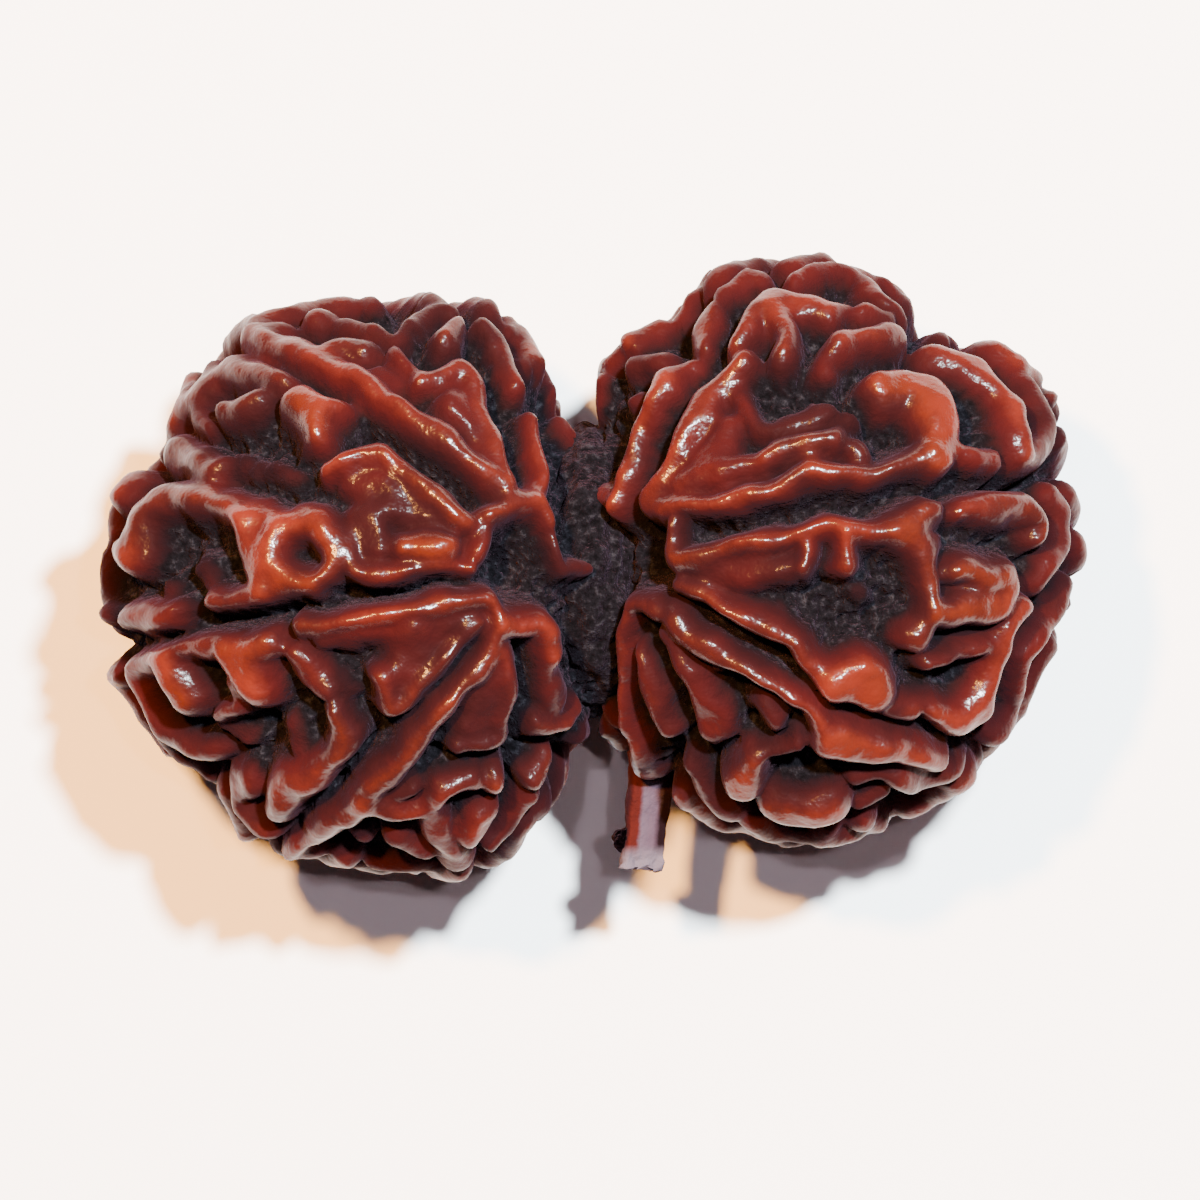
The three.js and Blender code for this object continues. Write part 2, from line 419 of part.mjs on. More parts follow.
// A line of spots (x, y, z, half width) with its corners cut
function softened(spots) {
  let line = spots;
  for (let round = 0; round < CORNER_CUTS && line.length > 2; round += 1) {
    const inner = [];
    for (let i = 0; i + 1 < line.length; i += 1) {
      const a = line[i];
      const b = line[i + 1];
      inner.push(a.map((value, k) => 0.75 * value + 0.25 * b[k]));
      inner.push(a.map((value, k) => 0.25 * value + 0.75 * b[k]));
    }
    line = [line[0], ...inner.slice(1, -1), line[line.length - 1]];
  }
  return line;
}

// A softened line as short pieces with a reach for quick rejection
function pieces(spots, margin) {
  const line = softened(spots);
  const found = [];
  for (let i = 0; i < Math.max(1, line.length - 1); i += 1) {
    const a = line[i];
    const b = line[Math.min(i + 1, line.length - 1)];
    const step = subtract(b, a);
    const lengthSquared = Math.max(1e-6, dot(step, step));
    const middle = along(a.slice(0, 3), step, 0.5);
    const reach = Math.sqrt(lengthSquared) / 2 + Math.max(a[3], b[3]) + margin;
    found.push({ a, step, lengthSquared, widen: b[3] - a[3], middle, reach });
  }
  return found;
}
const lifted = (stone, spots, margin) => pieces(
  spots.map(([x, y, width]) => [...liftFromAbove(stone, x, y), width]),
  margin,
);

function ridgeLines(stone, drawn) {
  const ridges = drawn.map(([rise, ...spots]) => ({ rise, line: lifted(stone, spots, SKIRT) }));
  for (const { rise, points, widths } of hiddenRidges(stone)) {
    ridges.push({ rise, line: pieces(points.map((point, i) => [...point, widths[i]]), SKIRT) });
  }
  const bottom = along(stone.centre, [0, 0, -1], stone.tall);
  ridges.push({ rise: 1, line: pieces([[...bottom, REST_PAD_RADIUS]], SKIRT) });
  return ridges;
}

// How far a point lies inside a line's band, as width + margin - distance, and the width there
function depthInside(line, margin, [x, y, z]) {
  let inside = -9;
  let widthThere = 1;
  for (const { a, step, lengthSquared, widen, middle, reach } of line) {
    if (Math.abs(x - middle[0]) > reach || Math.abs(y - middle[1]) > reach) continue;
    const ax = x - a[0];
    const ay = y - a[1];
    const az = z - a[2];
    const whole = (ax * step[0] + ay * step[1] + az * step[2]) / lengthSquared;
    const t = Math.min(1, Math.max(0, whole));
    const width = a[3] + widen * t;
    const distance = Math.hypot(ax - step[0] * t, ay - step[1] * t, az - step[2] * t);
    if (width + margin - distance > inside) {
      inside = width + margin - distance;
      widthThere = width;
    }
  }
  return [inside, widthThere];
}

// Height of the ridges at a point of the crest surface: 0 on the floor, about 1 on a crest.
// Each ridge is round on top and stands on a wide low skirt, which the grooves cut away.
function ridgeHeight(stone, point) {
  let total = 0;
  let skirt = 0;
  for (const { rise, line } of stone.ridges) {
    const [inside, width] = depthInside(line, SKIRT, point);
    if (inside <= 0) continue;
    const flank = Math.min(width + SHOULDER, WIDEST_FLANK);
    const share = Math.min(1, Math.max(0, (inside + SHOULDER - SKIRT) / flank));
    total += (rise * Math.sqrt(1 - (1 - share) * (1 - share))) ** BLEND_POWER;
    skirt = Math.max(skirt, rise * smoothStep(0, SKIRT, inside));
  }
  let cut = 0;
  for (const line of stone.grooveLines) {
    cut = Math.max(cut, smoothStep(0, GROOVE_EDGE, depthInside(line, GROOVE_EDGE, point)[0]));
  }
  total += (skirt * SKIRT_HEIGHT * (1 - cut)) ** BLEND_POWER;
  return total ** (1 / BLEND_POWER) - GROOVE_DEPTH * cut * (1 - Math.min(1, total));
}

// Surface point of a stone in a direction, cut flat where it rests
function stoneSurface(stone, direction) {
  const radius = crestRadius(stone, direction);
  const onCrest = along(stone.centre, direction, radius);
  const height = ridgeHeight(stone, onCrest);
  const sideways = smoothStep(...SEAM_SIDE, direction[0] * stone.facing);
  const seam = sideways * (1 - smoothStep(...SEAM_TOP, direction[2]));
  const depth = RELIEF_DEPTH + (SEAM_DEPTH - RELIEF_DEPTH) * seam;
  const poleAway = Math.hypot(...subtract(onCrest, stone.polePoint));
  const pitWall = smoothStep(POLE_PIT_FLOOR * POLE_PIT_RADIUS, POLE_PIT_RADIUS, poleAway);
  const pit = POLE_PIT_DEPTH * (1 - pitWall);
  const surface = along(stone.centre, direction, radius - depth * (1 - height) - pit);
  surface[2] = Math.max(0, surface[2]);
  return surface;
}

// Closed solid from a geometry
const wasm = await Module();
wasm.setup();
function solidFrom(geometry) {
  return new wasm.Manifold(new wasm.Mesh({
    numProp: 3,
    vertProperties: geometry.attributes.position.array,
    triVerts: Uint32Array.from(geometry.index.array),
  }));
}
function welded(geometry) {
  geometry.deleteAttribute('normal');
  geometry.deleteAttribute('uv');
  return mergeVertices(geometry, 1e-5);
}

function stoneSolid(stone, drawn) {
  stone.polePoint = liftFromAbove(stone, ...stone.pole);
  stone.ridges = ridgeLines(stone, drawn);
  stone.grooveLines = stone.grooves.map((spots) => lifted(stone, spots, GROOVE_EDGE));
  const geometry = welded(new THREE.IcosahedronGeometry(1, MESH_DETAIL));
  const position = geometry.attributes.position;
  for (let i = 0; i < position.count; i += 1) {
    const direction = unit([position.getX(i), position.getY(i), position.getZ(i)]);
    position.setXYZ(i, ...stoneSurface(stone, direction));
  }
  return solidFrom(geometry);
}

// Neck that joins the stones inside the seam
const NECK_CENTRE = [-0.4, 0.15, 10.2];
const NECK_HALF = [2.7, 5.8, 6.6];
const NECK_DETAIL = 9;
function neckSolid() {
  const geometry = welded(new THREE.IcosahedronGeometry(1, NECK_DETAIL));
  geometry.scale(...NECK_HALF);
  geometry.translate(...NECK_CENTRE);
  return solidFrom(geometry);
}

// Peg hanging from the lower end of the seam: a flat face up, a knob and a broken flared end
const PEG_START = [2.3, -5.2, 10.4];
const PEG_END = [1.65, -11.8, 10.0];
const PEG_SIDES = 12;
const PEG_STEPS = 8;
const PEG_RADII = [1.5, 1.3, 1.1, 0.95, 0.88, 0.86, 0.78, 0.82, 0.9];
const PEG_FACE_LEAN = 0.5;
const PEG_FACE_HEIGHT = 0.42;
const PEG_KNOB = [0.95, -10.6, 10.0];
const PEG_KNOB_RADIUS = 0.5;
function pegSolid() {
  const axis = subtract(PEG_END, PEG_START);
  const length = Math.hypot(...axis);
  const down = unit(axis);
  const up = unit(cross(down, [1, 0, 0]));
  const across = cross(up, down);
  const geometry = welded(new THREE.CylinderGeometry(1, 1, 1, PEG_SIDES, PEG_STEPS));
  const position = geometry.attributes.position;
  for (let i = 0; i < position.count; i += 1) {
    const share = 0.5 - position.getY(i);
    const radius = PEG_RADII[Math.round(share * PEG_STEPS)];
    const side = position.getX(i) * radius;
    const face = (PEG_FACE_HEIGHT - PEG_FACE_LEAN * side) * radius;
    const high = Math.min(position.getZ(i) * radius, face);
    const onAxis = along(PEG_START, down, share * length);
    position.setXYZ(i, ...along(along(onAxis, across, side), up, high));
  }
  const knob = welded(new THREE.IcosahedronGeometry(PEG_KNOB_RADIUS, 2));
  knob.translate(...PEG_KNOB);
  return solidFrom(geometry).add(solidFrom(knob));
}

// Thinning of a closed mesh: edges are closed up in order of how little they change the planes
// around them, so crests and grooves keep their points and flat places lose theirs.
class CheapestFirst {
  constructor() {
    this.items = [];
  }

  push(item) {
    const { items } = this;
    let at = items.push(item) - 1;
    while (at > 0) {
      const above = (at - 1) >> 1;
      if (items[above].cost <= item.cost) break;
      items[at] = items[above];
      at = above;
    }
    items[at] = item;
  }

  pop() {
    const { items } = this;
    const first = items[0];
    const last = items.pop();
    if (items.length > 0) {
      let at = 0;
      for (;;) {
        let below = 2 * at + 1;
        if (below >= items.length) break;
        if (below + 1 < items.length && items[below + 1].cost < items[below].cost) below += 1;
        if (items[below].cost >= last.cost) break;
        items[at] = items[below];
        at = below;
      }
      items[at] = last;
    }
    return first;
  }
}

const normalOf = (a, b, c) => cross(subtract(b, a), subtract(c, a));
function planeError(quadric, [x, y, z]) {
  const [xx, xy, xz, xw, yy, yz, yw, zz, zw, ww] = quadric;
  return xx * x * x + yy * y * y + zz * z * z + ww
    + 2 * (xy * x * y + xz * x * z + yz * y * z + xw * x + yw * y + zw * z);
}

function thinned(mesh, triangleCount) {
  const points = [];
  for (let i = 0; i < mesh.vertProperties.length; i += 3) {
    points.push(Array.from(mesh.vertProperties.subarray(i, i + 3)));
  }
  const triangles = [];
  for (let i = 0; i < mesh.triVerts.length; i += 3) {
    triangles.push(Array.from(mesh.triVerts.subarray(i, i + 3)));
  }
  const around = points.map(() => new Set());
  const quadrics = points.map(() => new Array(10).fill(0));
  const stamp = new Array(points.length).fill(0);
  triangles.forEach((corners, index) => {
    const [a, b, c] = corners.map((corner) => points[corner]);
    const normal = normalOf(a, b, c);
    const area = Math.hypot(...normal);
    const [x, y, z] = area > 1e-9 ? unit(normal) : [0, 0, 0];
    const w = -(x * a[0] + y * a[1] + z * a[2]);
    const terms = [x * x, x * y, x * z, x * w, y * y, y * z, y * w, z * z, z * w, w * w];
    corners.forEach((corner) => {
      around[corner].add(index);
      terms.forEach((term, k) => {
        quadrics[corner][k] += term * area;
      });
    });
  });
  const neighbours = (vertex) => {
    const found = new Set();
    around[vertex].forEach((t) => triangles[t].forEach((corner) => found.add(corner)));
    found.delete(vertex);
    return found;
  };
  const queue = new CheapestFirst();
  const offer = (a, b) => {
    const sum = quadrics[a].map((value, k) => value + quadrics[b][k]);
    const middle = along(points[a], subtract(points[b], points[a]), 0.5);
    const resting = [points[a], points[b]].filter((point) => point[2] === 0);
    const spots = resting.length === 1 ? resting : [points[a], points[b], middle];
    let best = null;
    for (const spot of spots) {
      const bend = Math.max(0, planeError(sum, spot));
      const cost = bend + LENGTH_COST * Math.hypot(...subtract(points[a], points[b]));
      if (!best || cost < best.cost) best = { cost, spot };
    }
    queue.push({ cost: best.cost, spot: best.spot, a, b, stampA: stamp[a], stampB: stamp[b] });
  };
  points.forEach((_, a) => neighbours(a).forEach((b) => {
    if (a < b) offer(a, b);
  }));
  const turnsOver = (vertex, other, spot) => {
    for (const t of around[vertex]) {
      const corners = triangles[t];
      if (corners.includes(other)) continue;
      const before = corners.map((corner) => points[corner]);
      const after = corners.map((corner) => (corner === vertex ? spot : points[corner]));
      const old = normalOf(...before);
      const now = normalOf(...after);
      const size = Math.hypot(...now);
      const alike = dot(old, now) / (Math.hypot(...old) * size);
      if (size < LEAST_AREA || alike < LEAST_ALIKE) return true;
      const longest = Math.max(...[0, 1, 2].map((k) => Math.hypot(
        ...subtract(after[k], after[(k + 1) % 3]),
      )));
      if (size / (longest * longest) < LEAST_THICKNESS) return true;
    }
    return false;
  };
  let left = triangles.length;
  while (left > triangleCount && queue.items.length > 0) {
    const { a, b, spot, stampA, stampB } = queue.pop();
    if (stamp[a] !== stampA || stamp[b] !== stampB) continue;
    const nearA = neighbours(a);
    const shared = [...neighbours(b)].filter((vertex) => nearA.has(vertex));
    if (shared.length !== 2 || turnsOver(a, b, spot) || turnsOver(b, a, spot)) continue;
    points[a] = spot;
    quadrics[b].forEach((value, k) => {
      quadrics[a][k] += value;
    });
    for (const t of [...around[b]]) {
      const corners = triangles[t];
      if (corners.includes(a)) {
        corners.forEach((corner) => around[corner].delete(t));
        triangles[t] = null;
        left -= 1;
      } else {
        triangles[t] = corners.map((corner) => (corner === b ? a : corner));
        around[a].add(t);
      }
    }
    around[b].clear();
    stamp[a] += 1;
    stamp[b] = -1;
    neighbours(a).forEach((vertex) => offer(a, vertex));
  }
  const renumber = new Map();
  const index = triangles.filter(Boolean).flat().map((corner) => {
    if (!renumber.has(corner)) renumber.set(corner, renumber.size);
    return renumber.get(corner);
  });
  const coordinates = [...renumber.keys()].flatMap((corner) => points[corner]);
  const geometry = new THREE.BufferGeometry();
  geometry.setAttribute('position', new THREE.Float32BufferAttribute(coordinates, 3));
  geometry.setIndex(index);
  geometry.computeVertexNormals();
  return geometry;
}

// The grown-together pair as one closed solid
const pair = stoneSolid(LEFT_STONE, LEFT_RIDGES)
  .add(stoneSolid(RIGHT_STONE, RIGHT_RIDGES))
  .add(neckSolid())
  .add(pegSolid());
const stone = new THREE.Mesh(
  thinned(pair.getMesh(), TRIANGLE_COUNT),
  new THREE.MeshStandardMaterial({ name: 'oiled_stone', color: 0x7a2c1e, roughness: 0.3 }),
);
stone.name = 'rudraksha_twin_stone';

const part = new THREE.Group();
part.name = 'rudraksha_seed';
part.add(stone);
export default part;
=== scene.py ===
# Twin rudraksha stone on a white surface, seen from above.
# The fine stone keeps the form of the source part. It adds a small wander of the ridges, swells and
# crumbs on the groove floors.
import math

import bmesh
import bpy
import numpy as np
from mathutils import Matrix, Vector, noise


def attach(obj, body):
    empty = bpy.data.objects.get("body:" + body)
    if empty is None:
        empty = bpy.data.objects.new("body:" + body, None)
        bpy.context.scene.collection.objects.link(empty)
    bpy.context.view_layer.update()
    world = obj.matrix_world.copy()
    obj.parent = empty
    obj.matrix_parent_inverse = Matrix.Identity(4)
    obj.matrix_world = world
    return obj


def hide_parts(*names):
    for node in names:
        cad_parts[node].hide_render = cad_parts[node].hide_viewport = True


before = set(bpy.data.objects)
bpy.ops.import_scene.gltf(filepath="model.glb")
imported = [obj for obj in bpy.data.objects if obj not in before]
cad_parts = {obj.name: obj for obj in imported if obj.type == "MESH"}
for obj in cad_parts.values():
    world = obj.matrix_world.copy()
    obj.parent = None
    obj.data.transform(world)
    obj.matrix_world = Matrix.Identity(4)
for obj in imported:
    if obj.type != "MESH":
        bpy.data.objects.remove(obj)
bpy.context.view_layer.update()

MM = 0.001
NODE = "rudraksha_twin_stone"

# Camera straight above the stones
CAMERA_HEIGHT = 411 * MM
FRAME_WIDTH = 48 * MM
EQUATOR = 11 * MM
camera_data = bpy.data.cameras.new("camera")
camera_data.sensor_width = 36
camera_data.lens = 36 * (CAMERA_HEIGHT - EQUATOR) / FRAME_WIDTH
camera_data.clip_start = 10 * MM
camera_data.clip_end = 10
camera = bpy.data.objects.new("camera", camera_data)
camera.location = (0, -1 * MM, CAMERA_HEIGHT)
bpy.context.scene.collection.objects.link(camera)
bpy.context.scene.camera = camera

# Form of the two stones, in millimetres: outline holds the reach every 15 degrees round the centre,
# grooves hold x, y and half width as seen from above
LEFT_STONE = dict(centre=(-7.6, -0.5, 10.8), inner_top=11.0, tall=11.2, size=12.0,
                  outline=[8.6, 8.6, 8.9, 9.3, 11, 12.4, 12.2, 12.2, 12.9, 12.5, 11.7, 12.8,
                           12.9, 12.8, 12.4, 11.6, 12.4, 11.9, 11.9, 12.2, 11.1, 9.7, 9.1, 8.7],
                  facing=1, pole=(-3.0, 0.3), seed=41,
                  groove_ends=[(-18.9, -2.7), (-13.6, 9.3), (-4.6, 10.9), (-12.6, -11.2), (-3.9, -11.4)],
                  unseen_grooves=[0.35, -0.55],
                  grooves=[[(-4.7, -0.3, .25), (-9.0, -0.75, .3), (-13.0, -1.55, .35),
                            (-15.8, -1.85, .4), (-17.7, -2.6, .3)],
                           [(-5.0, 3.0, .25), (-7.0, 4.9, .3), (-8.8, 6.0, .3), (-10.0, 7.2, .4),
                            (-11.5, 8.2, .4), (-13.0, 9.0, .3)],
                           [(-3.2, 4.3, .25), (-3.6, 6.2, .3), (-4.1, 7.8, .25), (-4.6, 9.3, .25),
                            (-5.0, 10.2, .2)],
                           [(-4.4, -1.8, .2), (-5.3, -3.2, .3), (-6.3, -4.6, .3), (-7.7, -6.0, .35),
                            (-9.2, -7.9, .4), (-10.5, -9.2, .4), (-12.0, -10.8, .4)],
                           [(-3.0, -3.0, .3), (-2.75, -3.8, .3), (-2.8, -5.7, .3), (-3.2, -7.5, .3),
                            (-3.5, -9.5, .25), (-4.2, -10.7, .2)]])
RIGHT_STONE = dict(centre=(8.2, 0.9, 10.4), inner_top=11.0, tall=10.8, size=11.8,
                   outline=[11.5, 11.4, 12.2, 11.7, 10.8, 11.9, 12.3, 12.5, 11.2, 11.5, 10.1, 10,
                            9.7, 9.8, 10.2, 11.2, 11.5, 12, 12.3, 11.8, 11.6, 11.4, 11, 11.1],
                   facing=-1, pole=(1.2, 0.6), seed=77,
                   groove_ends=[(19.0, 3.9), (5.2, 12.3), (15.2, -7.6), (5.4, -10.5)],
                   unseen_grooves=[2.4, 3.4, -2.5],
                   grooves=[[(2.9, 1.65, .3), (4.5, 1.9, .35), (7.3, 2.4, .4), (9.7, 2.75, .4),
                             (12.0, 3.1, .35), (14.0, 3.75, .45), (16.5, 3.85, .35), (18.0, 3.8, .2)],
                            [(1.7, 3.9, .25), (2.5, 6.1, .3), (3.4, 7.7, .25), (4.3, 9.3, .25),
                             (5.0, 10.7, .2), (5.6, 11.7, .15)],
                            [(2.9, -0.95, .2), (3.8, -1.6, .35), (5.7, -2.8, .35), (7.0, -3.6, .35),
                             (8.3, -4.6, .3), (10.0, -5.8, .3), (12.0, -6.5, .2), (13.7, -7.1, .2)],
                            [(1.5, -2.0, .2), (1.8, -2.8, .2), (2.3, -4.2, .2), (3.2, -6.5, .25),
                             (4.0, -8.0, .25), (4.8, -9.3, .25)]])
RELIEF_DEPTH = 1.9
SEAM_DEPTH = 0.5
POLE_PIT_RADIUS = 1.7
POLE_PIT_DEPTH = 1.3
SHOULDER = 0.36
WIDEST_FLANK = 1.0
SKIRT = 1.0
SKIRT_HEIGHT = 0.58
GROOVE_EDGE = 0.35
GROOVE_DEPTH = 0.15
CORNER_CUTS = 2
BLEND_POWER = 7
REST_PAD_RADIUS = 2.4
PULL_IN = 0.03
HIDDEN_BELOW = 0.24
HIDDEN_FROM_SEAM = 0.8
SEAM_FACING = (0.62, 0.9)
SEAM_RISE = (0.3, 0.55)

# Small forms that only the fine stone has
NOISE_SEED = 7
WANDER = 0.3
WANDER_SIZE = 1.4
SWELL = 0.22
SWELL_SIZE = 1.1
CRUMB = 0.5
CRUMB_SIZE = 0.42
SUBDIVISIONS = 7

# Crumbly neck that joins the stones inside the seam
NECK_CENTRE = (-0.4, 0.15, 10.2)
NECK_HALF = (2.7, 5.8, 6.6)
NECK_CRUMBS = ((0.5, 0.25), (1.4, 0.45))
NECK_SUBDIVISIONS = 6

# Peg hanging from the lower end of the seam: a flat face up, a knob and a broken flared end
PEG_START = (2.3, -5.2, 10.4)
PEG_END = (1.65, -11.8, 10.0)
PEG_RADII = (1.5, 1.3, 1.1, 0.95, 0.88, 0.86, 0.78, 0.82, 0.9)
PEG_FACE_LEAN = 0.5
PEG_FACE_HEIGHT = 0.42
PEG_KNOB = (0.95, -10.6, 10.0)
PEG_KNOB_RADIUS = 0.5
PEG_KNOB_CRUMBS = (0.35, 0.2)
PEG_KNOB_SUBDIVISIONS = 5
PEG_SIDES = 48
PEG_CUTS = 79
PEG_WAVES = (1.6, 0.12)
PEG_GRAIN = (0.45, 0.05, 0.2)
PEG_RAGGED_FROM = 0.88

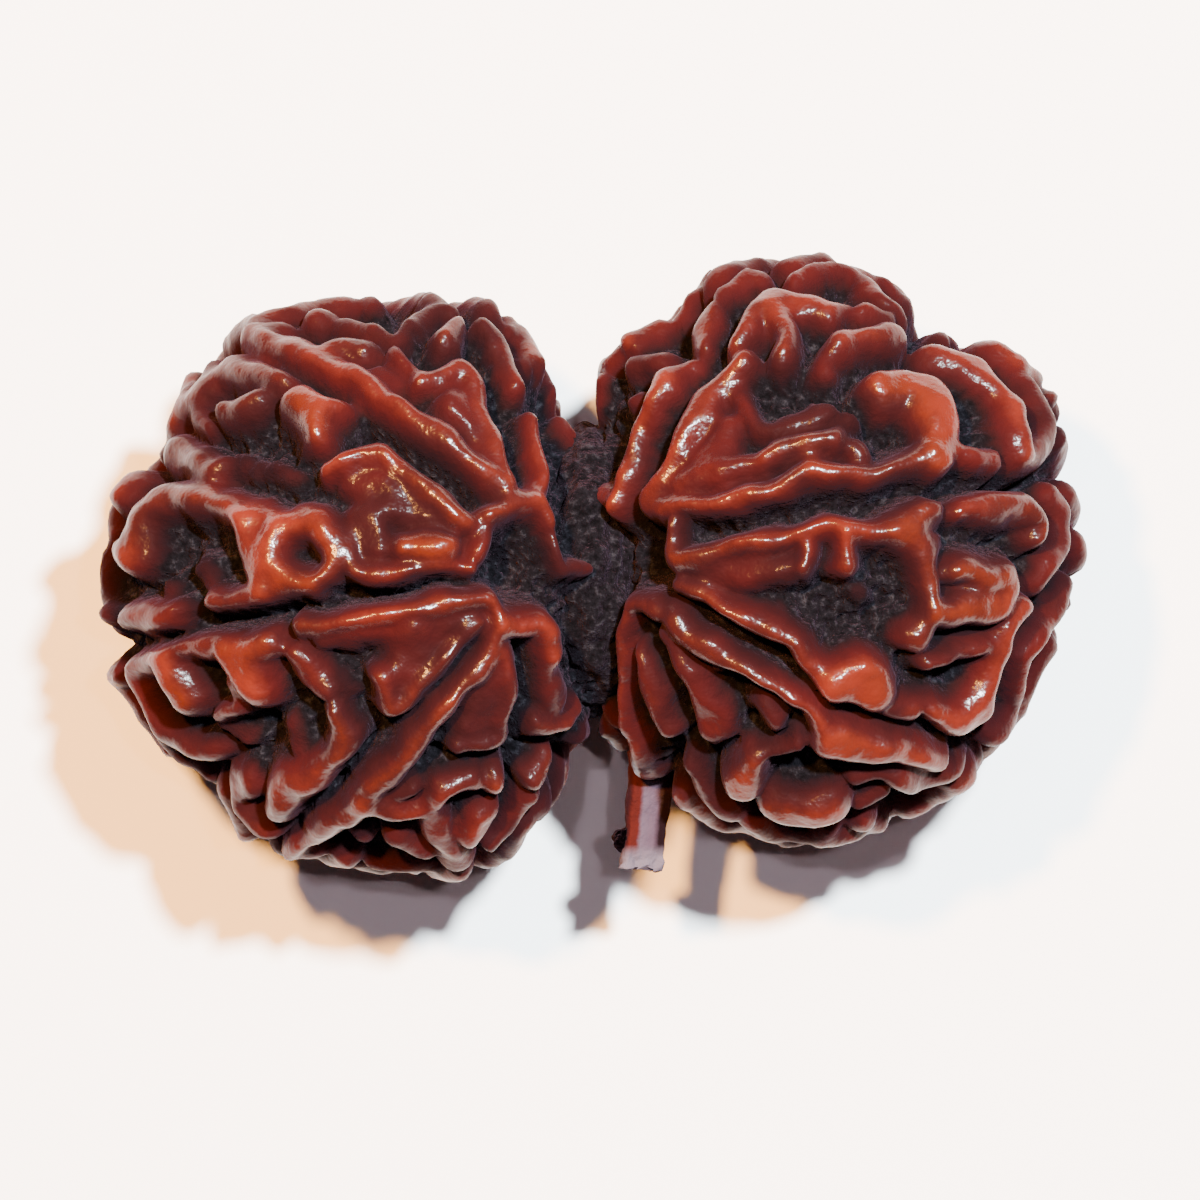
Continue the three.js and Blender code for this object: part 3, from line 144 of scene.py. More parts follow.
# Ridges of the upper side: rise as a share of the relief depth, then x, y and half width.
LEFT_RIDGES = [
  [1.1, [-7.5, 1.1, 0.5], [-6.7, 1.1, 0.7], [-5.8, 1, 0.45]],
  [0.82, [-5.2, 1.9, 0.4], [-6.9, 2.7, 0.9], [-8.5, 3.4, 1.1], [-9.6, 3.9, 0.6]],
  [0.85, [-8.7, 1.2, 0.7], [-9.2, 2.2, 0.9]],
  [0.95, [-4.9, 0.3, 0.25], [-7.4, 0.15, 0.3], [-9.3, 0.1, 0.4]],
  [1, [-5.2, 2, 0.35], [-6.6, 3.3, 0.4], [-8.3, 5, 0.4], [-9.4, 4.6, 0.4], [-10.7, 4.3, 0.3]],
  [1.05, [-10.5, 1, 0.6], [-11, 2, 0.65], [-12.1, 2.25, 0.65], [-13.1, 1.6, 0.6], [-13.1, 0.3, 0.6],
    [-12.2, -0.2, 0.55], [-11.1, -0.1, 0.5], [-10.5, 0.3, 0.5], [-10.5, 1, 0.6]],
  [0.92, [-9.6, 0.4, 0.4], [-10, 1.6, 0.5]],
  [1, [-12.8, 2.3, 0.5], [-14.2, 2.5, 0.7], [-15.6, 3.2, 0.7], [-17, 3.3, 0.7], [-18, 3, 0.9],
    [-18.6, 2.2, 1], [-18.7, 1.2, 0.9]],
  [1, [-14, 2.3, 0.6], [-13.8, 0.7, 0.5], [-13.4, -0.5, 0.6]],
  [0.95, [-11.2, -0.5, 0.4], [-13.3, -0.7, 0.4], [-14.4, -0.8, 0.35], [-15.4, -1.1, 0.5]],
  [1, [-19.3, 0.8, 0.6], [-18.8, 0.5, 0.4]],
  [0.6, [-16.3, 0.3, 0.4], [-15.9, -0.5, 0.3]],
  [0.95, [-19.2, -1.7, 0.5], [-18.1, -1.8, 0.5], [-16.9, -1.7, 0.4]],
  [0.6, [-17.8, -0.8, 0.4]],
  [1.08, [-11.9, 7, 0.8], [-11.2, 6.5, 1], [-11.2, 5.8, 0.65]],
  [1, [-11.2, 6.6, 0.8], [-10.3, 6.8, 0.6]],
  [0.95, [-17, 6.4, 0.65], [-16.2, 7.5, 0.75], [-15.3, 8.4, 0.7], [-14.2, 8.6, 0.7], [-13.3, 8.2, 0.6],
    [-12.7, 8, 0.6]],
  [0.98, [-15, 6.8, 0.5], [-14.2, 6.8, 0.65], [-13.6, 7.2, 0.45]],
  [0.85, [-16.4, 6.6, 0.5], [-15.9, 6.1, 0.3]],
  [0.95, [-17.2, 5.2, 0.7], [-16.4, 4.7, 0.6], [-15.5, 4.3, 0.6]],
  [0.55, [-15, 4.7, 0.4], [-13.4, 4.5, 0.4], [-12.2, 4.2, 0.3]],
  [1, [-3.7, 3.4, 0.4], [-5.4, 5, 0.4], [-7.2, 6.2, 0.5], [-8.9, 7.4, 0.5], [-9.9, 8.2, 0.7],
    [-11.6, 8.9, 0.7], [-13, 9.5, 0.6], [-14, 9.8, 0.5]],
  [0.85, [-3.9, 4.2, 0.3], [-4.7, 6, 0.7], [-5.4, 7, 1]],
  [0.95, [-3.4, 3.7, 0.3], [-4.2, 5.9, 0.3], [-4.7, 7.6, 0.35], [-5.1, 8.3, 0.4], [-6.2, 8.2, 0.35],
    [-7, 7.9, 0.3]],
  [0.85, [-7, 7.9, 0.25], [-7.6, 8.6, 0.25], [-8.2, 9.2, 0.3]],
  [1, [-6, 9.7, 0.6], [-5.6, 10.3, 0.4]],
  [0.85, [-7.4, 10.3, 0.4], [-6.7, 11, 0.45], [-5.9, 10.9, 0.4]],
  [0.8, [-8.9, 10.1, 0.35], [-8.2, 9.6, 0.3], [-7.6, 10.2, 0.3]],
  [0.95, [-10.8, 9.2, 0.4], [-9.3, 9.3, 0.4]],
  [0.95, [-11.2, 10.5, 0.7]],
  [0.9, [-14.1, 9.9, 0.4], [-12.7, 10.2, 0.4]],
  [0.85, [-10.2, 10.4, 0.4], [-9.2, 10, 0.35]],
  [0.7, [-8.8, 8.6, 0.4], [-8, 8, 0.35]],
  [1, [-4.4, 2.4, 0.3], [-3.3, 2.9, 0.45], [-2.3, 3, 0.55], [-1.9, 2.2, 0.3]],
  [0.95, [-2.2, 3.2, 0.5], [-2.1, 4.6, 0.35], [-2.5, 6.3, 0.35]],
  [0.95, [-3.2, 7.8, 0.45], [-3.6, 9, 0.5], [-4.4, 10.2, 0.55]],
  [0.8, [-2.7, 8.9, 0.45]],
  [0.85, [-1.7, 2, 0.25], [-1.4, 1.1, 0.25], [-1.1, 0.4, 0.25], [-0.6, 0.2, 0.25], [-0.1, 0.35, 0.25]],
  [0.9, [-4.6, 0.9, 0.35], [-4.5, 1.9, 0.35], [-4.2, 2.5, 0.35]],
  [1, [-4.6, -0.9, 0.35], [-6, -1.1, 0.35], [-8, -1.5, 0.35], [-11.8, -2.1, 0.35]],
  [0.8, [-4.9, -1.6, 0.5], [-7, -2.4, 1], [-7.7, -4, 1.1], [-8, -5, 0.8]],
  [0.8, [-7, -2.2, 0.7], [-10.9, -2.6, 0.55]],
  [0.95, [-8.6, -4.1, 0.4], [-8.2, -5.6, 0.45], [-7.3, -5, 0.35], [-6.2, -3.7, 0.3], [-4.7, -2, 0.3]],
  [1.05, [-13.2, -2.7, 0.6], [-14.6, -3, 0.7], [-14, -3.9, 1], [-13.6, -4.6, 0.75]],
  [0.95, [-15, -3, 0.4], [-16.4, -2.9, 0.35], [-17.6, -3.3, 0.35]],
  [1.08, [-17.3, -3.8, 0.8], [-16.6, -5, 0.75]],
  [0.95, [-18, -3.4, 0.4], [-19, -4, 0.6], [-18.3, -5.4, 0.55], [-17.5, -6.7, 0.65],
    [-15.6, -7.3, 0.65]],
  [0.9, [-14.8, -4.4, 0.25], [-14.4, -5.3, 0.3], [-15.3, -5.9, 0.3]],
  [0.92, [-12.2, -3.2, 0.5], [-11.6, -3.8, 0.65], [-10.9, -4.7, 0.5]],
  [0.6, [-10.4, -4.4, 0.4], [-9.9, -5, 0.3]],
  [1, [-10.5, -5.6, 0.4], [-10, -6.4, 0.6], [-10.3, -7.5, 0.6], [-11.5, -8.2, 0.7], [-12.8, -9, 0.8],
    [-13, -9.7, 0.7]],
  [0.65, [-12.4, -6.2, 0.3], [-12.2, -7.3, 0.35]],
  [0.95, [-14.3, -8.4, 0.6], [-14.6, -9.4, 0.6], [-13.6, -10.3, 0.6]],
  [0.6, [-15.4, -6.4, 0.5], [-14.4, -6.9, 0.35]],
  [1, [-3.8, -2.1, 0.5], [-4.5, -3.7, 0.4], [-6, -5.3, 0.4], [-7.3, -6.7, 0.5], [-8.7, -8.3, 0.6],
    [-9.9, -9.5, 0.7], [-11.6, -10.7, 0.6], [-12.3, -11.3, 0.5]],
  [0.8, [-3.7, -3.2, 0.35], [-4.2, -4.9, 0.7], [-4.6, -6.2, 0.9]],
  [0.9, [-3.5, -3, 0.3], [-3.5, -5.5, 0.3], [-3.7, -6.8, 0.3], [-5.3, -7.1, 0.3]],
  [0.95, [-9.6, -9.3, 0.6], [-8.3, -9.6, 0.45], [-7.2, -9.6, 0.35]],
  [0.85, [-8.2, -9.2, 0.3], [-7.4, -8.8, 0.3]],
  [0.95, [-6.6, -9.3, 0.35], [-5.9, -8.7, 0.4], [-4.9, -8.5, 0.35]],
  [1.05, [-4, -8.3, 0.65]],
  [1, [-4.5, -9.9, 0.6], [-5, -10.7, 0.5]],
  [0.85, [-7.9, -10.9, 0.5], [-6.9, -11.5, 0.55]],
  [0.9, [-6.6, -9.8, 0.35], [-6.1, -11, 0.5], [-5.6, -11.9, 0.55]],
  [0.7, [-9.5, -11, 0.5]],
  [0.9, [-4.2, -11.2, 0.4], [-3.2, -10.1, 0.45], [-2.6, -9.1, 0.45]],
  [1, [-4.2, -1, 0.3], [-3.9, -1.8, 0.4], [-3, -2, 0.4], [-2.1, -1.9, 0.4], [-1.6, -3.2, 0.4]],
  [0.85, [-2, -2.6, 0.4], [-1.6, -4.2, 0.6], [-1.4, -5.3, 0.75]],
  [0.95, [-2.3, -6.3, 0.35], [-1.4, -6.1, 0.35], [-0.6, -5.6, 0.3]],
  [1, [-1.9, -7.6, 0.5], [-2.5, -8.4, 0.45]],
]
RIGHT_RIDGES = [
  [0.95, [-0.3, 3.4, 0.45], [0.3, 2.9, 0.5]],
  [1, [0.4, 2.9, 0.5], [0.9, 4.2, 0.45], [1.2, 5.7, 0.35], [1.8, 6.9, 0.4], [2.5, 7.7, 0.65]],
  [0.9, [2.6, 7.7, 0.6], [3.3, 8.5, 0.35]],
  [0.85, [1, 8.7, 0.5], [2.2, 9, 0.45]],
  [0.75, [0.9, 7.4, 0.4]],
  [0.95, [3.8, 9.3, 0.45], [4.1, 10.5, 0.7]],
  [0.9, [4.7, 11.5, 0.5], [5.7, 12.3, 0.5]],
  [1, [1.7, 2.9, 0.45], [2.7, 4.5, 0.6], [3.5, 6.2, 0.5], [4.4, 7.6, 0.55], [5.6, 8.6, 0.4]],
  [1, [5.3, 9.2, 0.3], [5.9, 10.3, 0.6], [6.8, 11.1, 0.75], [8.2, 11.1, 0.7], [9.2, 10.7, 0.5]],
  [1, [6.9, 10.6, 0.5], [7.2, 9.6, 0.35], [7.1, 8.9, 0.5]],
  [1, [2.2, 2.7, 0.4], [4, 2.75, 0.35], [5.6, 3, 0.35], [7, 3.5, 0.4], [8.2, 4.1, 0.45],
    [10, 3.9, 0.4], [11.5, 4.1, 0.45], [12.9, 4.7, 0.6]],
  [0.8, [3, 3.7, 0.5], [4.1, 4.7, 0.9], [4.6, 5.9, 0.7]],
  [0.88, [2.9, 3.5, 0.4], [4.8, 4.2, 0.55], [6.1, 4.5, 0.5]],
  [0.95, [6.4, 4.7, 0.3], [7.7, 5.3, 0.5], [9.2, 5.4, 0.45]],
  [0.9, [8.2, 4.2, 0.35], [8.2, 5.2, 0.4]],
  [0.9, [10.2, 5, 0.5]],
  [0.7, [9.2, 5.6, 0.35], [9.8, 6.4, 0.3]],
  [0.8, [5.2, 7.6, 0.35], [5.6, 6.5, 0.35], [6.2, 5.9, 0.35], [7.4, 6.1, 0.3], [8.9, 6.6, 0.35]],
  [0.7, [4.2, 6.5, 0.5], [5, 6.2, 0.4]],
  [0.75, [8.8, 8.5, 0.35], [9, 9.3, 0.3]],
  [1, [9.3, 9.3, 0.35], [10.6, 9.7, 0.45], [11.8, 9.7, 0.6]],
  [0.9, [7.8, 12.2, 0.45], [9, 12.6, 0.4], [10.4, 12.3, 0.5], [11, 11.6, 0.5], [11.8, 10.9, 0.4]],
  [0.85, [9.7, 10.9, 0.45]],
  [0.85, [6.3, 12.3, 0.3]],
  [0.9, [10.6, 10.8, 0.4], [11.5, 10.6, 0.4]],
  [1.1, [11.2, 7.4, 0.85], [12.4, 7.7, 0.95], [13.3, 6.7, 1], [13.5, 5.6, 0.8], [13.3, 4.7, 0.7]],
  [0.8, [12.2, 10.5, 0.35]],
  [1, [13.4, 8.9, 0.7], [14.6, 8.6, 0.85], [15.7, 7.9, 0.75], [16.5, 7, 0.55], [16.7, 6, 0.5],
    [16.9, 5, 0.5]],
  [0.9, [16.8, 8.4, 0.4], [17.8, 7.2, 0.4], [18.3, 6, 0.4], [18, 5, 0.45], [17, 4.7, 0.5]],
  [0.9, [14.3, 5, 0.35], [15.2, 4.7, 0.35], [16, 4.6, 0.3]],
  [1, [2.7, 1.9, 0.3], [2.6, 1, 0.35], [2.9, 0.4, 0.45], [5, 0.95, 0.4], [7, 1.4, 0.4],
    [8.7, 1.95, 0.4], [10.2, 1.85, 0.45], [11.6, 1.7, 0.6], [13, 2.5, 0.65]],
  [0.8, [3.8, -0.1, 0.5], [5.8, 0.1, 0.8], [7.3, 0.2, 0.6]],
  [1, [2.9, -0.5, 0.35], [4.6, -1.2, 0.35], [6, -1.9, 0.45], [7.5, -2.6, 0.4], [8.2, -3.6, 0.35],
    [9, -4.2, 0.5]],
  [0.95, [8, 0.2, 0.35], [8.1, 1.1, 0.35]],
  [1, [9.6, 1.4, 0.35], [9.6, 0.3, 0.5]],
  [1, [11.8, 1.6, 0.6], [12.8, 1.4, 0.7], [13.2, -0.2, 0.4], [13.2, -1.5, 0.4], [12.4, -2.7, 0.55]],
  [0.5, [10.3, -0.9, 0.35]],
  [1.1, [9.2, -4.2, 0.75], [10.3, -4.1, 0.95], [10.9, -4.8, 0.7]],
  [0.9, [9.3, -4.8, 0.4], [10.6, -5.2, 0.4], [12.4, -5.8, 0.4]],
  [1.05, [13.3, -1.5, 0.45], [14.6, -1.6, 0.4], [16, -1.2, 0.7], [16.4, -0.4, 0.85], [15.4, 0, 0.6],
    [14.2, 0.1, 0.4]],
  [0.95, [14.3, -1.2, 0.3], [15.4, -0.7, 0.5]],
  [1, [14.3, 2.4, 0.35], [15.5, 2.8, 0.6], [16.7, 2.8, 0.65], [17.7, 2.3, 0.45], [17.5, 1.6, 0.3]],
  [0.9, [18.4, 3.2, 0.5], [18.9, 2.2, 0.55], [18.8, 1.1, 0.5], [18.2, 0.4, 0.5], [17.8, -0.5, 0.4]],
  [0.95, [19, -0.5, 0.5], [18.4, -1.8, 0.45], [17.3, -3, 0.4], [16.9, -4.4, 0.4], [16.8, -5.8, 0.5],
    [15.9, -6.7, 0.5]],
  [1.05, [16.9, -1.4, 0.5], [16, -2.6, 0.55], [15.7, -4.2, 0.6], [15.3, -5.4, 0.85], [14.4, -6, 0.85],
    [13.5, -5.7, 0.55]],
  [0.9, [12.9, -3.6, 0.3], [14.3, -3.3, 0.35], [15.4, -3, 0.4]],
  [0.85, [12.4, -5.6, 0.4], [13.2, -5.5, 0.4]],
  [1, [2.6, -1.7, 0.55], [3.3, -2.7, 0.45], [4.4, -3.3, 0.35], [5.6, -3.8, 0.3], [7, -4.6, 0.3],
    [8.2, -5.4, 0.4], [9.3, -6.5, 0.6]],
  [1.05, [9.3, -6.8, 0.85], [10.5, -6.9, 0.9], [12, -7.1, 0.6], [13.4, -7.7, 0.55]],
  [0.95, [12, -8.4, 0.6], [13.3, -8.6, 0.6], [14.4, -8.1, 0.6]],
  [0.85, [2.4, -2.5, 0.4], [3.3, -4.4, 0.5], [4.1, -5.6, 0.9], [4.4, -6.5, 0.75]],
  [0.6, [4.2, -3.9, 0.3]],
  [0.8, [6.3, -5.5, 0.45], [6.8, -6.2, 0.35]],
  [1.05, [6, -7.6, 0.5], [5.6, -8.5, 0.85]],
  [0.85, [6.5, -7.4, 0.3], [7.8, -7, 0.25]],
  [1.05, [6.9, -9.6, 0.8], [8, -9.8, 0.95], [9.1, -9.6, 0.85]],
  [0.8, [10.2, -8.6, 0.4], [11.3, -8.3, 0.4]],
  [0.8, [10.4, -9.6, 0.4], [11.3, -9.2, 0.4]],
  [0.95, [1.9, -1.5, 0.35], [1.2, -1.3, 0.35], [0.7, -1.5, 0.3], [0.7, -3, 0.3], [0.6, -4.5, 0.22],
    [0.8, -6, 0.25], [1.4, -7.5, 0.35], [1.7, -8.5, 0.4]],
  [0.9, [1.3, -3.2, 0.3], [1.8, -4.8, 0.5], [2.3, -6.4, 0.55]],
  [0.9, [3.4, -7.9, 0.4], [4, -9, 0.5], [5.1, -10, 0.5]],
  [0.8, [5.4, -10.2, 0.5], [6.4, -10.6, 0.5]],
]


def drawer(seed):
    """Seeded draws between 0 and 1, the same as in the source part."""
    state = [seed]

    def draw():
        state[0] = (1664525 * state[0] + 1013904223) & 0xFFFFFFFF
        return state[0] / 4294967296
    return draw


def smooth_step(low, high, value):
    t = np.clip((value - low) / (high - low), 0, 1)
    return t * t * (3 - 2 * t)


def crest_radius(stone, d):
    """Distance from the stone's centre to its crest surface along unit directions (n, 3)."""
    flat = np.hypot(d[:, 0], d[:, 1])
    outline = np.array(stone["outline"])
    turn = np.degrees(np.arctan2(d[:, 1], d[:, 0])) % 360 / (360 / len(outline))
    first = np.floor(turn).astype(int) % len(outline)
    share = smooth_step(0, 1, turn - np.floor(turn))
    reach = outline[first] + (outline[(first + 1) % len(outline)] - outline[first]) * share
    side = smooth_step(0, 0.6, d[:, 0] * stone["facing"] / np.maximum(flat, 1e-9))
    up = np.maximum(0, d[:, 2])
    reach = reach + (stone["inner_top"] - reach) * up * up * side
    reach = reach * (1 - PULL_IN * smooth_step(0.3, -0.1, d[:, 2]))
    return 1 / np.sqrt((flat / reach) ** 2 + (d[:, 2] / stone["tall"]) ** 2)


def lift_from_above(stone, x, y):
    """Point of the crest surface's upper side above a place seen from above."""
    centre = np.array(stone["centre"])
    dx, dy = x - centre[0], y - centre[1]
    distance = math.hypot(dx, dy)
    low, high = 0.0, math.pi / 2
    direction = np.array([[dx / distance, dy / distance, 0.0]])
    for _ in range(40):
        middle = (low + high) / 2
        level = math.cos(middle)
        direction = np.array([[dx / distance * level, dy / distance * level, math.sin(middle)]])
        if crest_radius(stone, direction)[0] * level > distance:
            low = middle
        else:
            high = middle
    return centre + direction[0] * crest_radius(stone, direction)[0]


def hidden_ridges(stone):
    """Ridges of the side that isn't seen: the source part's rule, draw for draw."""
    draw = drawer(stone["seed"])
    centre = np.array(stone["centre"])
    pole = lift_from_above(stone, *stone["pole"]) - centre
    pole /= np.linalg.norm(pole)
    east = np.cross([0, 1, 0], pole)
    east /= np.linalg.norm(east)
    north = np.cross(pole, east)

    def bearing(end):
        arm = lift_from_above(stone, *end) - centre
        return math.atan2(arm @ north, arm @ east)

    def place(polar, angle, width):
        d = math.sin(polar) * (math.cos(angle) * east + math.sin(angle) * north) + math.cos(polar) * pole
        d /= np.linalg.norm(d)
        return d, centre + d * crest_radius(stone, d[None])[0], width

    ridges = []

    def keep(rise, spots):
        run = []
        for spot in spots + [None]:
            if spot and spot[0][2] < HIDDEN_BELOW and spot[0][0] * stone["facing"] < HIDDEN_FROM_SEAM:
                run.append(spot)
            else:
                if run:
                    ridges.append((rise, np.array([s[1] for s in run]), [s[2] for s in run]))
                run = []

    grooves = sorted([bearing(end) for end in stone["groove_ends"]] + stone["unseen_grooves"])
    size = stone["size"]
    for index, start in enumerate(grooves):
        end = grooves[index + 1] if index + 1 < len(grooves) else grooves[0] + 2 * math.pi
        for from_start in (True, False):
            lip = []
            polar = 0.9
            while polar < 3.0:
                offset = (0.9 + 0.6 * draw()) / (size * math.sin(polar))
                angle = start + offset if from_start else end - offset
                lip.append(place(polar, angle, 0.42 + 0.36 * draw()))
                if draw() < 0.2:
                    keep(0.85 + 0.2 * draw(), lip)
                    lip = []
                polar += 0.17
            keep(0.95, lip)
        polar = 0.8
        while polar < 2.9:
            ring_size = size * math.sin(polar)
            span = (end - start) * ring_size
            here = polar
            polar += 0.235
            if span < 3.2:
                continue
            edge = 1.3 / span
            lanes = max(1, math.floor((span - 2) / 3.2 + 0.5))
            for lane in range(lanes):
                first = edge + (1 - 2 * edge) * lane / lanes
                last = edge + (1 - 2 * edge) * (lane + 1) / lanes

                def across(share):
                    return start + (end - start) * (first + (last - first) * share)
                tall = 0.8 + 0.25 * draw()
                shift = 0.14 * (draw() - 0.5)
                kind = draw()
                if kind < 0.36:
                    bow = 0.16 * (draw() - 0.5)
                    link = []
                    for share in (0, 0.35, 0.7, 1):
                        drift = bow * math.sin(math.pi * share) + 0.05 * (draw() - 0.5)
                        link.append(place(here + shift + drift, across(share), 0.42 + 0.3 * draw()))
                    keep(tall, link)
                elif kind < 0.66:
                    middle = across(0.25 + 0.5 * draw())
                    keep(tall, [place(here + shift, middle, 0.6 + 0.5 * draw())])
                elif kind < 0.84:
                    middle = across(0.5)
                    ring = 1.1 + 0.4 * draw()
                    turns = [corner * math.pi / 3 for corner in range(7)]
                    keep(tall, [place(here + shift + ring * math.sin(turn) / size,
                                      middle + ring * math.cos(turn) / ring_size, 0.42) for turn in turns])
                else:
                    middle = across(0.3 + 0.4 * draw())
                    lean = (draw() - 0.5) / size
                    keep(tall, [place(here + shift - 0.1, middle - lean, 0.6),
                                place(here + shift, middle, 0.5 + 0.3 * draw()),
                                place(here + shift + 0.1, middle + 2 * lean, 0.45)])
    return ridges


def softened(spots):
    """A line of (x, y, z, half width) spots with its corners cut."""
    spots = np.asarray(spots, float)
    for _ in range(CORNER_CUTS):
        if len(spots) < 3:
            return spots
        ahead = 0.75 * spots[:-1] + 0.25 * spots[1:]
        behind = 0.25 * spots[:-1] + 0.75 * spots[1:]
        inner = np.stack([ahead, behind], axis=1).reshape(-1, spots.shape[1])
        spots = np.vstack([spots[:1], inner[1:-1], spots[-1:]])
    return spots


def lifted(stone, spots):
    """Spots (x, y, half width) seen from above, on the crest surface, softened."""
    return softened([[*lift_from_above(stone, x, y), width] for x, y, width in spots])


def all_ridges(stone, drawn):
    ridges = [(line[0], lifted(stone, line[1:])) for line in drawn]
    ridges += [(rise, softened(np.c_[points, widths])) for rise, points, widths in hidden_ridges(stone)]
    bottom = np.array(stone["centre"]) - np.array([0, 0, stone["tall"]])
    ridges.append((1.0, np.array([[*bottom, REST_PAD_RADIUS]])))
    return ridges


def depth_inside(line, points, margin):
    """How far points lie inside a line's band, as width + margin - distance, and the width there."""
    inside = np.full(len(points), -9.0)
    widths = np.ones(len(points))
    for i in range(max(1, len(line) - 1)):
        start, end = line[i], line[min(i + 1, len(line) - 1)]
        step = end[:3] - start[:3]
        length_squared = max(1e-6, step @ step)
        reach = math.sqrt(length_squared) / 2 + max(start[3], end[3]) + margin
        away = points - (start[:3] + step / 2)
        near = np.flatnonzero((np.abs(away) < reach).all(axis=1))
        if not len(near):
            continue
        arm = points[near] - start[:3]
        t = np.clip(arm @ step / length_squared, 0, 1)
        width = start[3] + (end[3] - start[3]) * t
        here = width + margin - np.linalg.norm(arm - t[:, None] * step, axis=1)
        better = here > inside[near]
        inside[near[better]] = here[better]
        widths[near[better]] = width[better]
    return inside, widths


def ridge_height(stone, points):
    """Height of the ridges at points of the crest surface: 0 on the floor, about 1 on a crest."""
    total = np.zeros(len(points))
    skirt = np.zeros(len(points))
    for rise, line in stone["ridges"]:
        inside, width = depth_inside(line, points, SKIRT)
        flank = np.minimum(width + SHOULDER, WIDEST_FLANK)
        share = np.clip((inside + SHOULDER - SKIRT) / flank, 0, 1)
        total += (rise * np.sqrt(1 - (1 - share) ** 2)) ** BLEND_POWER
        skirt = np.maximum(skirt, rise * smooth_step(0, SKIRT, inside))
    cut = np.zeros(len(points))
    for line in stone["groove_lines"]:
        inside, _ = depth_inside(line, points, GROOVE_EDGE)
        cut = np.maximum(cut, smooth_step(0, GROOVE_EDGE, inside))
    skirt *= SKIRT_HEIGHT * (1 - cut)
    total += skirt ** BLEND_POWER
    return total ** (1 / BLEND_POWER) - GROOVE_DEPTH * cut * (1 - np.clip(total, 0, 1))


def stone_surface(stone, d):
    """Surface points along unit directions, with the small forms that the source part leaves out."""
    centre = np.array(stone["centre"])
    radius = crest_radius(stone, d)
    on_crest = centre + d * radius[:, None]
    wander = np.array([noise.noise_vector(Vector(p) / WANDER_SIZE) for p in on_crest])
    height = ridge_height(stone, on_crest + WANDER * wander)
    sideways = smooth_step(*SEAM_FACING, d[:, 0] * stone["facing"])
    seam = sideways * (1 - smooth_step(*SEAM_RISE, d[:, 2]))
    depth = RELIEF_DEPTH + (SEAM_DEPTH - RELIEF_DEPTH) * seam
    pole_away = np.linalg.norm(on_crest - stone["pole_point"], axis=1)
    pit = POLE_PIT_DEPTH * (1 - smooth_step(0.3 * POLE_PIT_RADIUS, POLE_PIT_RADIUS, pole_away))
    swell = np.array([noise.noise(Vector(p) / SWELL_SIZE) for p in on_crest + 31])
    crumb = np.array([noise.noise(Vector(p) / CRUMB_SIZE) for p in on_crest + 7])
    floor = 1 - smooth_step(0.25, 0.75, height)
    rough = SWELL * swell * (1 - 0.5 * floor) + CRUMB * crumb * floor
    surface = centre + d * (radius - depth * (1 - height) - pit + rough)[:, None]
    surface[:, 2] = np.maximum(0, surface[:, 2])
    return surface, height


def mesh_from(bm, name):
    mesh = bpy.data.meshes.new(name)
    bm.to_mesh(mesh)
    bm.free()
    return mesh


def marked(mesh, height, peg=0.0):
    """The mesh with its ridge height and its share of peg as vertex attributes."""
    count = len(mesh.vertices)
    for name, values in (("ridge", height), ("peg", peg)):
        layer = mesh.attributes.new(name, "FLOAT", "POINT")
        layer.data.foreach_set("value", np.broadcast_to(values, count).astype(np.float32))
    return mesh


def stone_mesh(stone, drawn, name):
    """One netted stone: a fine sphere pushed out to the ridged surface."""
    stone["pole_point"] = lift_from_above(stone, *stone["pole"])
    stone["ridges"] = all_ridges(stone, drawn)
    stone["groove_lines"] = [lifted(stone, line) for line in stone["grooves"]]
    bm = bmesh.new()
    bmesh.ops.create_icosphere(bm, subdivisions=SUBDIVISIONS, radius=1)
    mesh = mesh_from(bm, name)
    d = np.empty(len(mesh.vertices) * 3, np.float32)
    mesh.vertices.foreach_get("co", d)
    d = d.reshape(-1, 3).astype(float)
    d /= np.linalg.norm(d, axis=1)[:, None]
    surface, height = stone_surface(stone, d)
    mesh.vertices.foreach_set("co", (surface * MM).ravel().astype(np.float32))
    return marked(mesh, height)


def neck_mesh():
    """Crumbly ellipsoid inside the seam."""
    bm = bmesh.new()
    bmesh.ops.create_icosphere(bm, subdivisions=NECK_SUBDIVISIONS, radius=1)
    for v in bm.verts:
        place = Vector([c + h * x for c, h, x in zip(NECK_CENTRE, NECK_HALF, v.co)])
        rough = sum(noise.noise(place / size) * depth for size, depth in NECK_CRUMBS)
        v.co = (place + v.co.normalized() * rough) * MM
    return marked(mesh_from(bm, "neck"), 0.0)


